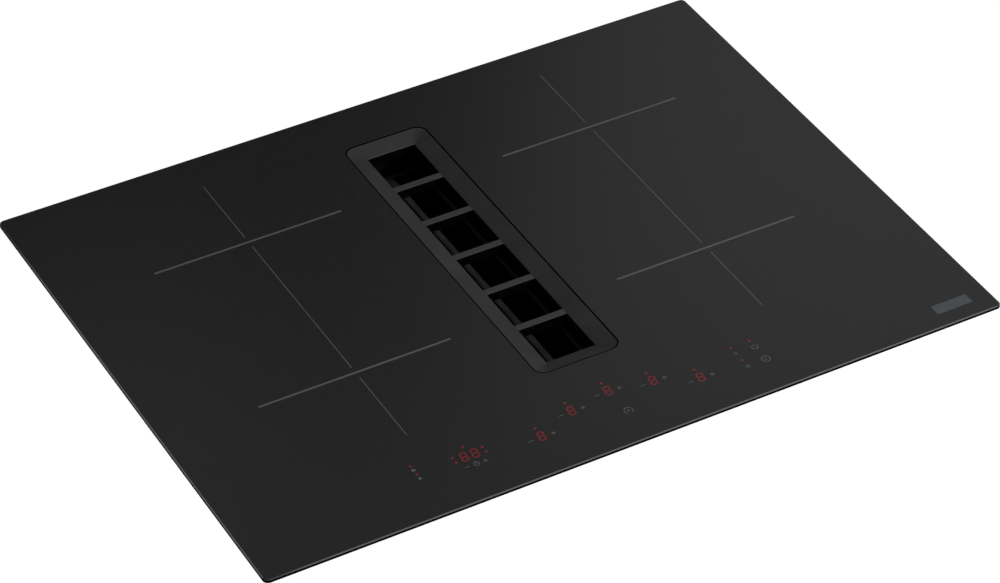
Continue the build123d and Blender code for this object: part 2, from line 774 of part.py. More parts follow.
# --- Touch control --------------------------------------------------------------------------
def touch_carrier():
    """Shallow moulded tray that presses the touch board to the glass."""
    width = touch_width + 2 * touch_wall
    depth = touch_depth + 2 * touch_wall
    low = touch_board_low - touch_carrier_depth
    body = plate(width, depth, 3, low, glass_under, touch_x, touch_y)
    body -= plate(touch_width, touch_depth, 1.5, touch_board_low, glass_under, touch_x, touch_y)
    inset = 3 * touch_wall
    return body - plate(touch_width - inset, touch_depth - inset, 1.5, low + touch_wall, touch_board_low,
                        touch_x, touch_y)


def touch_board():
    gap = carrier_gap
    return plate(touch_width - gap, touch_depth - gap, 1.5, touch_board_low, touch_board_top, touch_x, touch_y)


def lamp_places():
    """Where single indicator lamps shine through the glass."""
    places = [(x, y + lamp_above_digit) for x, y in digit_places]
    x, y = timer_place
    places.append((x, y + timer_lamp_rise))
    places += [(x + a * timer_lamp_side, y + b * timer_lamp_split) for a in (-1, 1) for b in (-1, 1)]
    return places + other_lamps


def display_modules():
    """Digit blocks and single lamps on the touch board, reaching up to the glass."""
    pieces = []
    for x, y in digit_places:
        pieces.append(plate(digit_width, digit_depth, 0.5, touch_board_top, glass_under, x, y))
    x, y = timer_place
    pieces.append(plate(2 * digit_width, digit_depth, 0.5, touch_board_top, glass_under, x, y))
    for x, y in lamp_places():
        pieces.append(plate(2 * lamp_r, 2 * lamp_r, 0.5, touch_board_top, glass_under, x, y))
    return Compound(pieces)


# --- Mains box ------------------------------------------------------------------------------
def mains_box():
    """Moulded box under the tray, open below, with pegs for the fan's board."""
    body = plate(mains_width, mains_depth, mains_corner_r, mains_low, mains_top, mains_x, mains_y)
    body -= plate(mains_width - 2 * mains_wall, mains_depth - 2 * mains_wall, mains_corner_r - mains_wall,
                  mains_low, mains_top - mains_wall, mains_x, mains_y)
    for x, y in fan_board_pegs():
        body += disc(peg_r, mains_top - mains_wall - peg_length, mains_top - mains_wall, x, y)
    y = mains_y + mains_depth / 2
    hole = Pos(mains_x, y, gland_z()) * Rot(90, 0, 0) * Cylinder(gland_thread_r, 4 * mains_wall)
    return body - hole


def gland_z():
    return (mains_top + mains_low) / 2


def fan_board_pegs():
    dx = fan_board_width / 2 - 2 * peg_r
    dy = fan_board_depth / 2 - 2 * peg_r
    return [(mains_x + a * dx, fan_board_y + b * dy) for a in (-1, 1) for b in (-1, 1)]


def mains_cover():
    """Cover that closes the mains box from below, with a locating rib inside the walls."""
    body = plate(mains_width, mains_depth, mains_corner_r, mains_low - mains_wall, mains_low, mains_x, mains_y)
    gap = mains_wall + carrier_gap
    body += ring(mains_width - 2 * gap, mains_depth - 2 * gap, mains_corner_r - mains_wall, mains_wall,
                 mains_low, mains_low + 2 * mains_wall, mains_x, mains_y)
    return body


def terminal_block():
    """Stepped block of screw terminals for the supply wires."""
    high = mains_top - mains_wall
    low = high - terminal_height
    half = terminal_depth / 2
    step = terminal_height / 2
    outline = Polyline((-half, high), (-half, low + step), (0, low), (half, low), (half, high), close=True)
    body = extrude(Plane.YZ * make_face(outline), terminal_width / 2, both=True)
    pitch = terminal_width / terminal_poles
    for number in range(terminal_poles):
        x = (number - (terminal_poles - 1) / 2) * pitch
        hole = Pos(x, half, low + step * 0.6) * Rot(90, 0, 0) * Cylinder(pitch * 0.28, terminal_depth)
        body -= hole
    return Pos(mains_x, terminal_y, 0) * body


def cable_gland():
    """Gland in the box's back wall: hexagon nut inside, thread through the wall, hexagon cap outside."""
    wall_out = mains_y + mains_depth / 2
    wall_in = wall_out - mains_wall
    cap_out = wall_out + gland_outside
    hexagon = Plane.XZ * RegularPolygon(gland_nut_r, 6)
    body = Pos(0, wall_in, 0) * extrude(hexagon, gland_inside)
    body += Pos(0, wall_out + gland_outside * 0.4, 0) * extrude(hexagon, gland_outside * 0.4)
    points = [(0, wall_in), (gland_thread_r, wall_in), (gland_thread_r, wall_out), (gland_thread_r * 1.15, wall_out),
              (gland_thread_r * 1.15, cap_out - 2), (gland_thread_r * 0.95, cap_out), (0, cap_out)]
    body += revolve(Plane.XY * make_face(Polyline(*points, close=True)), Axis.Y)
    bore = Pos(0, wall_out, 0) * Rot(90, 0, 0) * Cylinder(gland_bore_r, 4 * gland_outside)
    return Pos(mains_x, 0, gland_z()) * (body - bore)


def fan_board():
    """Motor drive board on the box's pegs, with its heat spreader."""
    high = mains_top - mains_wall - peg_length
    low = high - board_thick
    body = plate(fan_board_width, fan_board_depth, component_r, low, high, mains_x, fan_board_y)
    width, depth, height = driver_size
    for number in range(3):
        x = mains_x + (number - 1) * fan_board_width / 4
        body += plate(width, depth, component_r, low - height, low, x, fan_board_y)
    return body


# --- Plenum ---------------------------------------------------------------------------------
def plenum_screw_places():
    """Screws through the plenum's flange into the tray's floor."""
    left = plenum_left - plenum_flange / 2
    right = plenum_right + plenum_flange / 2
    span = plenum_rear - plenum_front_top
    ys = [plenum_front_top + span * share for share in (0.1, 0.5, 0.9)]
    return [(x, y) for x in (left, right) for y in ys]


def plenum_box():
    """Sheet tub hung under the tray: sloping front, fan inlet and drain in its floor."""
    lean = (plenum_front_bottom - plenum_front_top) / plenum_height
    shift = plenum_sheet * sqrt(1 + lean * lean)
    rear = plenum_rear - plenum_sheet
    outside = Polyline((plenum_front_top, plenum_top), (plenum_front_bottom, plenum_low),
                       (plenum_rear, plenum_low), (plenum_rear, plenum_top), close=True)
    inside = Polyline((plenum_front_top + shift, plenum_top),
                      (plenum_front_bottom + shift - lean * plenum_sheet, plenum_floor),
                      (rear, plenum_floor), (rear, plenum_top), close=True)
    width = plenum_right - plenum_left
    depth = plenum_rear - plenum_front_top
    middle = (plenum_left + plenum_right) / 2
    centre_y = (plenum_rear + plenum_front_top) / 2
    body = soft_below(extrude(Plane.YZ * make_face(outside), width / 2, both=True), plenum_fold_r)
    body += plate(width + 2 * plenum_flange, depth + 2 * plenum_flange, plenum_flange,
                  plenum_top - plenum_sheet, plenum_top, 0, centre_y)
    void = extrude(Plane.YZ * make_face(inside), width / 2 - plenum_sheet, both=True)
    body -= soft_below(void, plenum_fold_r - plenum_sheet)
    body = Pos(middle, 0, 0) * body
    body -= disc(inlet_r + inlet_round, plenum_low, plenum_floor, fan_x, fan_y)
    body -= disc(spout_r, plenum_low, plenum_floor, spout_x, spout_y)
    for x, y in plenum_screw_places():
        body -= disc(screw_r + screw_gap, plenum_top - plenum_sheet, plenum_top, x, y)
    for x, y in volute_screw_places():
        body -= disc(screw_r + screw_gap, plenum_low, plenum_floor, x, y)
    for y in lap_screw_ys():
        body -= Pos(middle, y, lap_screw_z()) * Rot(0, 90, 0) * Cylinder(screw_r + screw_gap, width)
    return body


def drain_spout():
    """Flanged spout that leads spilt water from the plenum down to the tank."""
    low = plenum_low - spout_length
    inner = spout_r - spout_wall
    points = [(inner, low), (spout_r, low), (spout_r, plenum_floor), (spout_r + 4, plenum_floor),
              (spout_r + 4, plenum_floor + spout_wall), (inner, plenum_floor + spout_wall)]
    return turned(points, spout_x, spout_y)


# --- Fan scroll -----------------------------------------------------------------------------
def scroll_point(share, grow):
    """A point of the scroll's spiral and its angle about the fan, from tongue (0) to outlet (1)."""
    start_r = tongue_r + grow
    start_angle = degrees(acos((outlet_right + grow - fan_x) / start_r))
    angle = radians(start_angle - share * (start_angle + 180))
    reach = start_r + share * (scroll_end_r - tongue_r)
    return (fan_x + reach * cos(angle), fan_y + reach * sin(angle)), degrees(angle)


def scroll_face(grow):
    """Plan of the scroll and its outlet, grown outwards by a wall or a flange."""
    points = [scroll_point(number / (scroll_points - 1), grow)[0] for number in range(scroll_points)]
    first = radians(scroll_point(0, grow)[1])
    scroll = Spline(*points, tangents=[(sin(first), -cos(first)), (0, 1)])
    rest = Polyline(points[-1], (outlet_left - grow, outlet_y), (outlet_right + grow, outlet_y), points[0])
    return make_face(scroll + rest)


def flange_screw_places():
    """Screws that hold the two halves of the scroll together."""
    reach = volute_wall + volute_flange / 2 + screw_gap
    return [scroll_point(share, reach)[0] for share in flange_screw_shares]


def gusset(share, z_low, z_high):
    """A rib that stiffens the parting flange against the scroll's wall."""
    (x, y), angle = scroll_point(share, volute_wall)
    rib = Pos(0, 0, z_low) * extrude(Rectangle(2 * volute_flange - 1, gusset_thick), z_high - z_low)
    return Pos(x, y, 0) * Rot(0, 0, angle) * rib


def volute_screw_places():
    """Screws round the inlet that hang the scroll from the plenum's floor."""
    reach = inlet_r + inlet_round + 3 * head_r
    return [(fan_x + reach * cos(radians(angle)), fan_y + reach * sin(radians(angle)))
            for angle in (45, 135, 225, 315)]


def scroll_shell(z_low, z_high, floor_low, floor_high, flange_low):
    """Half of the scroll: its wall, its flat side and its parting flange."""
    flat = Pos(0, 0, floor_low) * extrude(scroll_face(volute_wall), floor_high - floor_low)
    wall = Pos(0, 0, z_low) * extrude(scroll_face(volute_wall) - scroll_face(0), z_high - z_low)
    band = scroll_face(volute_wall + volute_flange) - scroll_face(0)
    flange = Pos(0, 0, flange_low) * extrude(band, volute_flange_thick)
    room = slab(plenum_left + 2 * tank_gap, plenum_right - 2 * tank_gap,
                housing_front + housing_sheet + tank_gap, outlet_y, z_low, z_high)
    for x, y in flange_screw_places():
        flange -= disc(screw_r + screw_gap, flange_low, flange_low + volute_flange_thick, x, y)
    ribs = [gusset(share, z_low, z_high) for share in gusset_shares]
    inside = Pos(0, 0, z_low) * extrude(scroll_face(0), z_high - z_low)
    return flat + wall + ((flange + ribs - inside) & room)


def volute_upper():
    """Upper half of the scroll, with the rounded inlet that leads air into the wheel."""
    body = scroll_shell(volute_mid, volute_top, volute_top - volute_wall, volute_top, volute_mid)
    body -= disc(inlet_r + inlet_round, volute_top - volute_wall, volute_top, fan_x, fan_y)
    mouth_r = inlet_r + inlet_round
    low = volute_top - inlet_round
    outer = Polyline((mouth_r, volute_top - volute_wall), (mouth_r, volute_top))
    inner_arc = ThreePointArc((mouth_r, volute_top),
                              (mouth_r - inlet_round * cos(radians(45)), low + inlet_round * sin(radians(45))),
                              (inlet_r, low))
    foot = Line((inlet_r, low), (inlet_r + volute_wall, low))
    round_in = inlet_round - volute_wall
    outer_arc = ThreePointArc((inlet_r + volute_wall, low),
                              (mouth_r - round_in * cos(radians(45)), low + round_in * sin(radians(45))),
                              (mouth_r, volute_top - volute_wall))
    lip = revolve(Plane.XZ * make_face(outer + inner_arc + foot + outer_arc), Axis.Z)
    body += Pos(fan_x, fan_y, 0) * lip
    for x, y in volute_screw_places():
        body -= disc(screw_r + screw_gap, volute_top - volute_wall, volute_top, x, y)
    return body


def volute_lower():
    """Lower half of the scroll, whose floor carries the motor."""
    return scroll_shell(volute_low, volute_mid, volute_low, volute_floor, volute_mid - volute_flange_thick)


# --- Wheel and motor ------------------------------------------------------------------------
def wheel_hub():
    """Pressed cone over the motor, whose foot stands on the wheel's plate."""
    skirt_r = hub_r + hub_cone
    seat = wheel_low + wheel_plate
    return turned([(shaft_r, hub_top), (shaft_r, hub_top - wheel_plate), (hub_r - wheel_plate, hub_top - wheel_plate),
                   (skirt_r - wheel_plate, seat), (skirt_r + hub_flange, seat),
                   (skirt_r + hub_flange, seat + wheel_plate), (skirt_r, seat + wheel_plate), (hub_r, hub_top)])


def impeller():
    """Radial wheel: annular plate, forward-curved blades and a rim, with its hub."""
    body = ring_plate(wheel_r, hub_r + hub_cone - wheel_plate, wheel_low, wheel_low + wheel_plate)
    rim = [(wheel_r - wheel_rim_width, wheel_top - 2 * wheel_plate), (wheel_r, wheel_top - 2 * wheel_plate),
           (wheel_r, wheel_top), (wheel_r - wheel_rim_width, wheel_top)]
    body += turned(rim)
    blade = curved_blade(wheel_inner_r, wheel_r - blade_thick, blade_lean / 2, blade_thick,
                         wheel_low + wheel_plate / 2, wheel_top)
    blades = [Rot(0, 0, number * 360 / blade_count) * blade for number in range(blade_count)]
    return Pos(fan_x, fan_y, 0) * Compound([body + blades, wheel_hub()])


def motor_rotor():
    """Bell of the outer-rotor motor, under the wheel's cone."""
    inner = motor_rotor_r - motor_rotor_wall
    points = [(shaft_r, rotor_top), (shaft_r, rotor_top - motor_rotor_wall), (inner, rotor_top - motor_rotor_wall),
              (inner, rotor_low), (motor_rotor_r, rotor_low), (motor_rotor_r, rotor_top)]
    return turned(points, fan_x, fan_y)


def motor_shaft():
    """Steel shaft through both bearings, with a collar over the upper one."""
    low = bracket_top
    collar = shaft_r * 1.5
    points = [(0, low), (shaft_r, low), (shaft_r, hub_top + 2), (0, hub_top + 2)]
    return turned(points, fan_x, fan_y)


def motor_stator():
    """Stator with its poles, pressed on the bearing tube."""
    body = disc(stator_r, stator_low, stator_low + stator_height)
    body -= disc(bearing_tube_r, stator_low, stator_low + stator_height)
    for number in range(stator_poles):
        turn = Rot(0, 0, number * 360 / stator_poles)
        body -= turn * slab(stator_r * 0.55, stator_r + 1, -stator_slot / 2, stator_slot / 2, stator_low,
                            stator_low + stator_height)
    return Pos(fan_x, fan_y, 0) * body


def bearing_lows():
    return (bracket_top + 1, bearing_tube_top - bearing_width)


def motor_bearings():
    """Two bearings in the tube, with a running gap round the shaft."""
    pieces = []
    for low in bearing_lows():
        bore_r = shaft_r + running_gap
        points = [(bore_r, low), (bearing_r, low), (bearing_r, low + bearing_width),
                  (bore_r, low + bearing_width)]
        pieces.append(turned(points, fan_x, fan_y))
    return Compound(pieces)


def motor_bracket():
    """Round plate on rubber mounts, with the tube that holds bearings and stator."""
    points = [(shaft_r * 1.5, bracket_low), (bracket_r, bracket_low), (bracket_r, bracket_top),
              (bearing_tube_r, bracket_top), (bearing_tube_r, bearing_tube_top),
              (bearing_r, bearing_tube_top), (bearing_r, bracket_top + 1), (shaft_r * 1.5, bracket_top + 1)]
    body = turned(points, fan_x, fan_y)
    for x, y in mount_places(180 / mount_count):
        body -= disc(bracket_hole_r, bracket_low, bracket_top, x, y)
    return body


def mount_places(turn):
    """Evenly spaced places round the motor, turned from the first rubber mount."""
    angles = [radians(90 + turn + number * 360 / mount_count) for number in range(mount_count)]
    return [(fan_x + mount_ring_r * cos(angle), fan_y + mount_ring_r * sin(angle)) for angle in angles]


def motor_mounts():
    """Rubber mounts between the bracket and the scroll's floor."""
    waist = mount_r * 0.7
    points = [(0, volute_floor), (mount_r, volute_floor), (mount_r, volute_floor + 1),
              (waist, volute_floor + mount_height / 2), (mount_r, bracket_low - 1), (mount_r, bracket_low),
              (0, bracket_low)]
    return Compound([turned(points, x, y) for x, y in mount_places(0)])


# --- Outlet, housing and tank ---------------------------------------------------------------
def outlet_block(inset, y_low, y_high):
    """A block with the outlet's rounded section, along Y."""
    width = outlet_width + 2 * volute_wall - 2 * inset
    height = volute_height - 2 * inset
    section = Plane.XZ * RectangleRounded(width, height, spigot_corner_r - inset)
    return Pos(outlet_x, y_high, volute_mid) * extrude(section, y_high - y_low)


def outlet_spigot():
    """Flat spigot behind the scroll, for a flat duct pushed over it."""
    start = housing_rear
    body = outlet_block(0, start, start + spigot_reach)
    width = outlet_width + 2 * volute_wall
    low = volute_low
    body += slab(outlet_x - width / 2 - spigot_flange, outlet_x + width / 2 + spigot_flange,
                 start, start + spigot_wall, low, volute_top)
    bead_y = start + spigot_reach * 0.6
    body += outlet_block(-spigot_bead, bead_y, bead_y + spigot_bead_width)
    return body - outlet_block(spigot_wall, start, start + spigot_reach)


def lap_screw_z():
    return plenum_low + housing_lap * 0.55


def lap_screw_ys():
    """Screws through the lap of the side walls, front and back."""
    return [housing_front + share * (plenum_rear - housing_front) for share in lap_screw_shares]


def lower_housing():
    """Folded sheet housing round the fan and the tank, lapped over the plenum's sides."""
    left = plenum_left - housing_sheet
    right = plenum_right + housing_sheet
    top = plenum_low + housing_lap
    width = right - left
    depth = housing_rear - housing_front
    body = tub(width, depth, housing_fold_r, housing_sheet, housing_low, top,
               (left + right) / 2, (housing_front + housing_rear) / 2)
    body -= slab(plenum_left, plenum_right, housing_front - 1, housing_rear + 1, plenum_low, top)
    body -= slab(left, right, plenum_rear, housing_rear + 1, plenum_low, top)
    body -= slab(tank_left - tank_gap, tank_right + tank_gap, housing_front - 1, housing_front + housing_sheet,
                 tank_low, tank_low + tank_height + tank_gap)
    body -= outlet_block(spigot_wall, housing_rear - housing_sheet, housing_rear)
    for y in lap_screw_ys():
        body -= Pos((left + right) / 2, y, lap_screw_z()) * Rot(0, 90, 0) * Cylinder(screw_r + screw_gap, width)
    guide = tank_right + tank_gap
    body += slab(guide, guide + housing_sheet, housing_front + housing_sheet, tank_rear, tank_low,
                 tank_low + 10)
    return body


def overflow_tank():
    """Open tank that pulls out to the front, with a finger grip under its lip."""
    width = tank_right - tank_left
    depth = tank_rear - housing_front
    x = (tank_left + tank_right) / 2
    y = (tank_rear + housing_front) / 2
    body = tub(width, depth, tank_corner_r, tank_wall, tank_low, tank_low + tank_height, x, y)
    front = housing_front - tank_front_lip
    lip = Pos(x, housing_front, tank_low + tank_height / 2) * extrude(
        Plane.XZ * RectangleRounded(width + 2, tank_height - 2, tank_corner_r), tank_front_lip)
    grip = slab(x - 25, x + 25, front, housing_front + 2 * tank_wall, tank_low + tank_height - 22,
                tank_low + tank_height - 12)
    pocket = slab(x - 27, x + 27, housing_front, housing_front + 4 * tank_wall, tank_low + tank_height - 24,
                  tank_low + tank_height - 10)
    return body + lip + pocket - grip


# --- Clamps and screws ----------------------------------------------------------------------
def clamp_screw_z():
    return tray_floor_out + clamp_rise * 0.7


def clamp_brackets():
    """Angle brackets on the tray's side walls that reach out under the worktop."""
    wall = tray_width / 2
    low = tray_floor_out
    outline = Polyline((0, low), (clamp_reach, low), (clamp_reach, low + clamp_sheet),
                       (clamp_sheet, low + clamp_sheet), (clamp_sheet, low + clamp_rise), (0, low + clamp_rise),
                       close=True)
    bracket = extrude(Plane.XZ * make_face(outline), clamp_width / 2, both=True)
    bracket -= Pos(0, 0, clamp_screw_z()) * Rot(0, 90, 0) * Cylinder(screw_r + screw_gap, 4 * clamp_sheet)
    bracket -= disc(clamp_screw_r + screw_gap, low, low + clamp_sheet, clamp_reach * 0.65, 0)
    pieces = []
    for end in (-1, 1):
        pieces.append(Pos(wall, end * clamp_y, 0) * bracket)
        pieces.append(Pos(-wall, end * clamp_y, 0) * Rot(0, 0, 180) * bracket)
    return Compound(pieces)


def clamp_screws():
    """Upright screws that press each bracket against the worktop's underside."""
    screw = Pos(0, 0, tray_floor_out) * Rot(180, 0, 0) * pan_screw(clamp_screw_r, clamp_screw_length,
                                                                head_r, head_height)
    reach = tray_width / 2 + clamp_reach * 0.65
    return Compound([Pos(side * reach, end * clamp_y, 0) * screw for side in (-1, 1) for end in (-1, 1)])


def housing_screws():
    """Screws of one size: plenum to tray, scroll to plenum, scroll halves, brackets, housing laps."""
    screw = pan_screw(screw_r, screw_length, head_r, head_height)
    pieces = []
    for x, y in plenum_screw_places():
        pieces.append(Pos(x, y, plenum_top - plenum_sheet) * Rot(180, 0, 0) * screw)
    for x, y in volute_screw_places():
        pieces.append(Pos(x, y, plenum_floor) * screw)
    for x, y in flange_screw_places():
        pieces.append(Pos(x, y, volute_mid + volute_flange_thick) * screw)
    for side, x in ((-1, plenum_left - housing_sheet), (1, plenum_right + housing_sheet)):
        for end in (-1, 1):
            place = Pos(side * (tray_width / 2 + clamp_sheet), end * clamp_y, clamp_screw_z())
            pieces.append(place * Rot(0, side * 90, 0) * screw)
        for y in lap_screw_ys():
            pieces.append(Pos(x, y, lap_screw_z()) * Rot(0, side * 90, 0) * screw)
    return Compound(pieces)


# --- Every node, written to its own file ----------------------------------------------------
nodes = {
    "glass_top": glass_top(),
    "rim_gasket": rim_gasket(),
    "intake_grille": intake_grille(),
    "grille_pads": grille_pads(),
    "filter_frame": filter_frame(),
    "filter_mesh": filter_mesh(),
    "drip_tray": drip_tray(),
    "intake_shaft": intake_shaft(),
    "shaft_seal": shaft_seal(),
    "base_tray": base_tray(),
    "coil_ferrites": coil_ferrites(),
    "coil_sensors": coil_sensors(),
    "plate_supports": plate_supports(),
    "touch_carrier": touch_carrier(),
    "touch_board": touch_board(),
    "display_modules": display_modules(),
    "mains_box": mains_box(),
    "mains_cover": mains_cover(),
    "terminal_block": terminal_block(),
    "cable_gland": cable_gland(),
    "fan_board": fan_board(),
    "plenum_box": plenum_box(),
    "drain_spout": drain_spout(),
    "volute_upper": volute_upper(),
    "volute_lower": volute_lower(),
    "impeller": impeller(),
    "motor_rotor": motor_rotor(),
    "motor_shaft": motor_shaft(),
    "motor_stator": motor_stator(),
    "motor_bearings": motor_bearings(),
    "motor_bracket": motor_bracket(),
    "motor_mounts": motor_mounts(),
    "outlet_spigot": outlet_spigot(),
    "lower_housing": lower_housing(),
    "overflow_tank": overflow_tank(),
    "clamp_brackets": clamp_brackets(),
    "clamp_screws": clamp_screws(),
    "housing_screws": housing_screws(),
}
for place_name, (place_x, place_y) in coil_places().items():
    nodes["coil_winding_" + place_name] = coil_winding(place_x, place_y)
    nodes["coil_carrier_" + place_name] = coil_carrier(place_x, place_y)
for side_name, side_sign in (("left", -1), ("right", 1)):
    nodes["mica_" + side_name] = mica_sheet(side_sign)
    nodes["coil_plate_" + side_name] = coil_plate(side_sign)
    nodes["power_board_" + side_name] = power_board(side_sign)
    nodes["heatsink_" + side_name] = heatsink(side_sign)
    nodes["board_parts_" + side_name] = board_parts(side_sign)
    nodes["blower_case_" + side_name] = blower_case(side_sign)
    nodes["blower_rotor_" + side_name] = blower_rotor(side_sign)

os.makedirs("parts", exist_ok=True)
for name, shape in nodes.items():
    export_step(shape, "parts/" + name + ".step")
print(len(nodes), "nodes written")
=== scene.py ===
# %% [markdown]
# A built-in downdraft cooktop, dressed for the studio.
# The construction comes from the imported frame: every rigid piece, at its real size and place.
# This file gives each piece its finish, adds the print on the glass and the lit digits behind it,
# and sets the camera, the light and the floor. All lengths are metres.

# %% Load the frame
import json
import math

import bmesh
import bpy
from mathutils import Matrix, Vector


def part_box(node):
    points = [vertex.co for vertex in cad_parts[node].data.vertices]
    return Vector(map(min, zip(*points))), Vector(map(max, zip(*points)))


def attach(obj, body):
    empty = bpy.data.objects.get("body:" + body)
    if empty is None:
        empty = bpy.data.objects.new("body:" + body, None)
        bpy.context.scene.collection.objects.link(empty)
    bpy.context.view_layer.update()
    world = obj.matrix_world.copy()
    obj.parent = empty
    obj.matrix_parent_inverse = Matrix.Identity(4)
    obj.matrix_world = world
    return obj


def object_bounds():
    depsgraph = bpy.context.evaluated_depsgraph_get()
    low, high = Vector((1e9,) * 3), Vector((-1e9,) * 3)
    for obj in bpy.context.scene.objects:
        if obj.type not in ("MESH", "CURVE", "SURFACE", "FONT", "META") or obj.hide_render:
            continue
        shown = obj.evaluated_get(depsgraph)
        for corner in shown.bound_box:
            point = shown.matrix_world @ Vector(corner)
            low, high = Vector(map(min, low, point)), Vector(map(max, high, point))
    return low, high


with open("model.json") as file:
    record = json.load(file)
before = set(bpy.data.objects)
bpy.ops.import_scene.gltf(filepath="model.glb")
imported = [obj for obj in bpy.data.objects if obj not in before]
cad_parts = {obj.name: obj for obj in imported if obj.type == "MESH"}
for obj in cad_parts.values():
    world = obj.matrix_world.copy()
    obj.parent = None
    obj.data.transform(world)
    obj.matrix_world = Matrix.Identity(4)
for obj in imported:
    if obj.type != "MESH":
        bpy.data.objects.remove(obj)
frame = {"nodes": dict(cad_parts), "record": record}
cad_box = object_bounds()
nodes = frame["nodes"]
record = frame["record"]
print("nodes in the frame:", len(nodes))

MM = 0.001
scene = bpy.context.scene

# %% [markdown]
# Colours are written as the hex values a designer reads off a screen. Blender's shaders want linear
# light, so one function turns the one into the other. The rest are short names for the steps that
# every material and every hand-made mesh repeats.

# %% Colours, nodes and meshes
def linear(code):
    """An sRGB hex colour such as '#1b1c1e' as linear RGBA."""
    channels = [int(code[i:i + 2], 16) / 255 for i in (1, 3, 5)]
    lit = [c / 12.92 if c <= 0.04045 else ((c + 0.055) / 1.055) ** 2.4 for c in channels]
    return (*lit, 1.0)


def add_node(tree, kind, values=None, links=None, **settings):
    """Adds one node: settings are its attributes, values its sockets, links come from other sockets."""
    made = tree.nodes.new(kind)
    for key, value in settings.items():
        setattr(made, key, value)
    for key, value in (values or {}).items():
        made.inputs[key].default_value = value
    for key, output in (links or {}).items():
        tree.links.new(output, made.inputs[key])
    return made


def blank_finish(name, roughness, metallic=0.0, colour=None):
    """A new material with its tree, its shader and the piece's own coordinates."""
    material = bpy.data.materials.new(name)
    material.use_nodes = True
    tree = material.node_tree
    shader = tree.nodes["Principled BSDF"]
    shader.inputs["Roughness"].default_value = roughness
    shader.inputs["Metallic"].default_value = metallic
    if colour:
        shader.inputs["Base Color"].default_value = linear(colour)
    place = add_node(tree, "ShaderNodeTexCoord").outputs["Object"]
    return material, tree, shader, place


def two_tones(tree, factor, low_code, high_code, low=0.0, high=1.0):
    """A ramp between two colours, driven by a pattern's value."""
    ramp = add_node(tree, "ShaderNodeValToRGB", links={0: factor})
    ramp.color_ramp.elements[0].position = low
    ramp.color_ramp.elements[1].position = high
    ramp.color_ramp.elements[0].color = linear(low_code)
    ramp.color_ramp.elements[1].color = linear(high_code)
    return ramp.outputs[0]


def spread(tree, factor, low, high, from_low=0.0, from_high=1.0):
    """A pattern's value moved into the range a socket needs, such as a roughness."""
    values = {"From Min": from_low, "From Max": from_high, "To Min": low, "To Max": high}
    return add_node(tree, "ShaderNodeMapRange", values=values, links={"Value": factor}).outputs["Result"]


def bump(tree, shader, height, depth, strength=1.0):
    """Raises the surface by a pattern, with its real depth in metres."""
    made = add_node(tree, "ShaderNodeBump", values={"Distance": depth, "Strength": strength},
                    links={"Height": height})
    tree.links.new(made.outputs[0], shader.inputs["Normal"])


def mesh_object(name, bm, finish):
    """Puts a finished bmesh into the scene as an object with one material."""
    mesh = bpy.data.meshes.new(name)
    bm.to_mesh(mesh)
    bm.free()
    mesh.materials.append(finish)
    made = bpy.data.objects.new(name, mesh)
    scene.collection.objects.link(made)
    return made


# %% [markdown]
# The camera stands where the photographer's did. It looks down at the glass from the front left:
# the four corners of the glass fix its direction, its distance and its long lens.

# %% Camera
IMAGE_WIDTH = 1000                 # pixels, the photograph's frame
FOCAL_PIXELS = 3818.4
SENSOR_WIDTH = 36.0                # mm
CAMERA_AZIMUTH = math.radians(-29.463)
CAMERA_ELEVATION = math.radians(39.207)
CAMERA_ROLL = math.radians(0.206)
CAMERA_DISTANCE = 3.256672
glass_low, glass_high = (Vector(corner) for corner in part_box("glass_top"))
GLASS_Z = glass_high.z
AIM = Vector((-0.014532, -0.037033, GLASS_Z))

back = Vector((math.sin(CAMERA_AZIMUTH) * math.cos(CAMERA_ELEVATION),
               -math.cos(CAMERA_AZIMUTH) * math.cos(CAMERA_ELEVATION),
               math.sin(CAMERA_ELEVATION)))
level = Vector((0, 0, 1)).cross(back).normalized()
turn = Matrix.Rotation(CAMERA_ROLL, 3, back)
right_way = turn @ level
up_way = back.cross(right_way)
camera_data = bpy.data.cameras.new("camera")
camera_data.sensor_width = SENSOR_WIDTH
camera_data.lens = FOCAL_PIXELS / IMAGE_WIDTH * SENSOR_WIDTH
camera_data.clip_end = 100.0
camera = bpy.data.objects.new("camera", camera_data)
scene.collection.objects.link(camera)
axes = Matrix((right_way, up_way, back)).transposed()
camera.matrix_world = Matrix.Translation(AIM + back * CAMERA_DISTANCE) @ axes.to_4x4()
scene.camera = camera
print("lens", round(camera_data.lens, 2), "mm")

# %% [markdown]
# A studio for a black mirror is mostly about what the mirror sees. The surroundings are white at the
# horizon and dark overhead, so the level glass stays dark while upright metal stays bright. One
# strong key from low on the front right lights the raised faces. Weaker softboxes stand where the
# glass and its ground edges mirror them, and they draw the slow sweep across the top.

# %% Light and floor
HORIZON_WHITE = 0.03               # the sky is white up to this height, as the sine of its angle
DARK_FROM = 0.24
FLOOR_RADIUS = 30.0

scene.view_settings.view_transform = "Standard"
world = bpy.data.worlds.new("studio")
scene.world = world
world.use_nodes = True
sky = world.node_tree
background = sky.nodes["Background"]
way = add_node(sky, "ShaderNodeTexCoord").outputs["Generated"]
rise = add_node(sky, "ShaderNodeSeparateXYZ", links={0: way}).outputs["Z"]
shade = two_tones(sky, rise, "#ffffff", "#4a4a4b", HORIZON_WHITE, DARK_FROM)
sky.links.new(shade, background.inputs["Color"])
background.inputs["Strength"].default_value = 1.0


def soft_lamp(name, place, look_at, size, radiance):
    """A square softbox that faces a point. Its power follows from how bright its face should look."""
    data = bpy.data.lights.new(name, "AREA")
    data.shape = "SQUARE"
    data.size = size
    data.energy = radiance * math.pi * size ** 2
    lamp = bpy.data.objects.new(name, data)
    scene.collection.objects.link(lamp)
    facing = (Vector(look_at) - Vector(place)).to_track_quat("-Z", "Y")
    lamp.matrix_world = Matrix.Translation(place) @ facing.to_matrix().to_4x4()


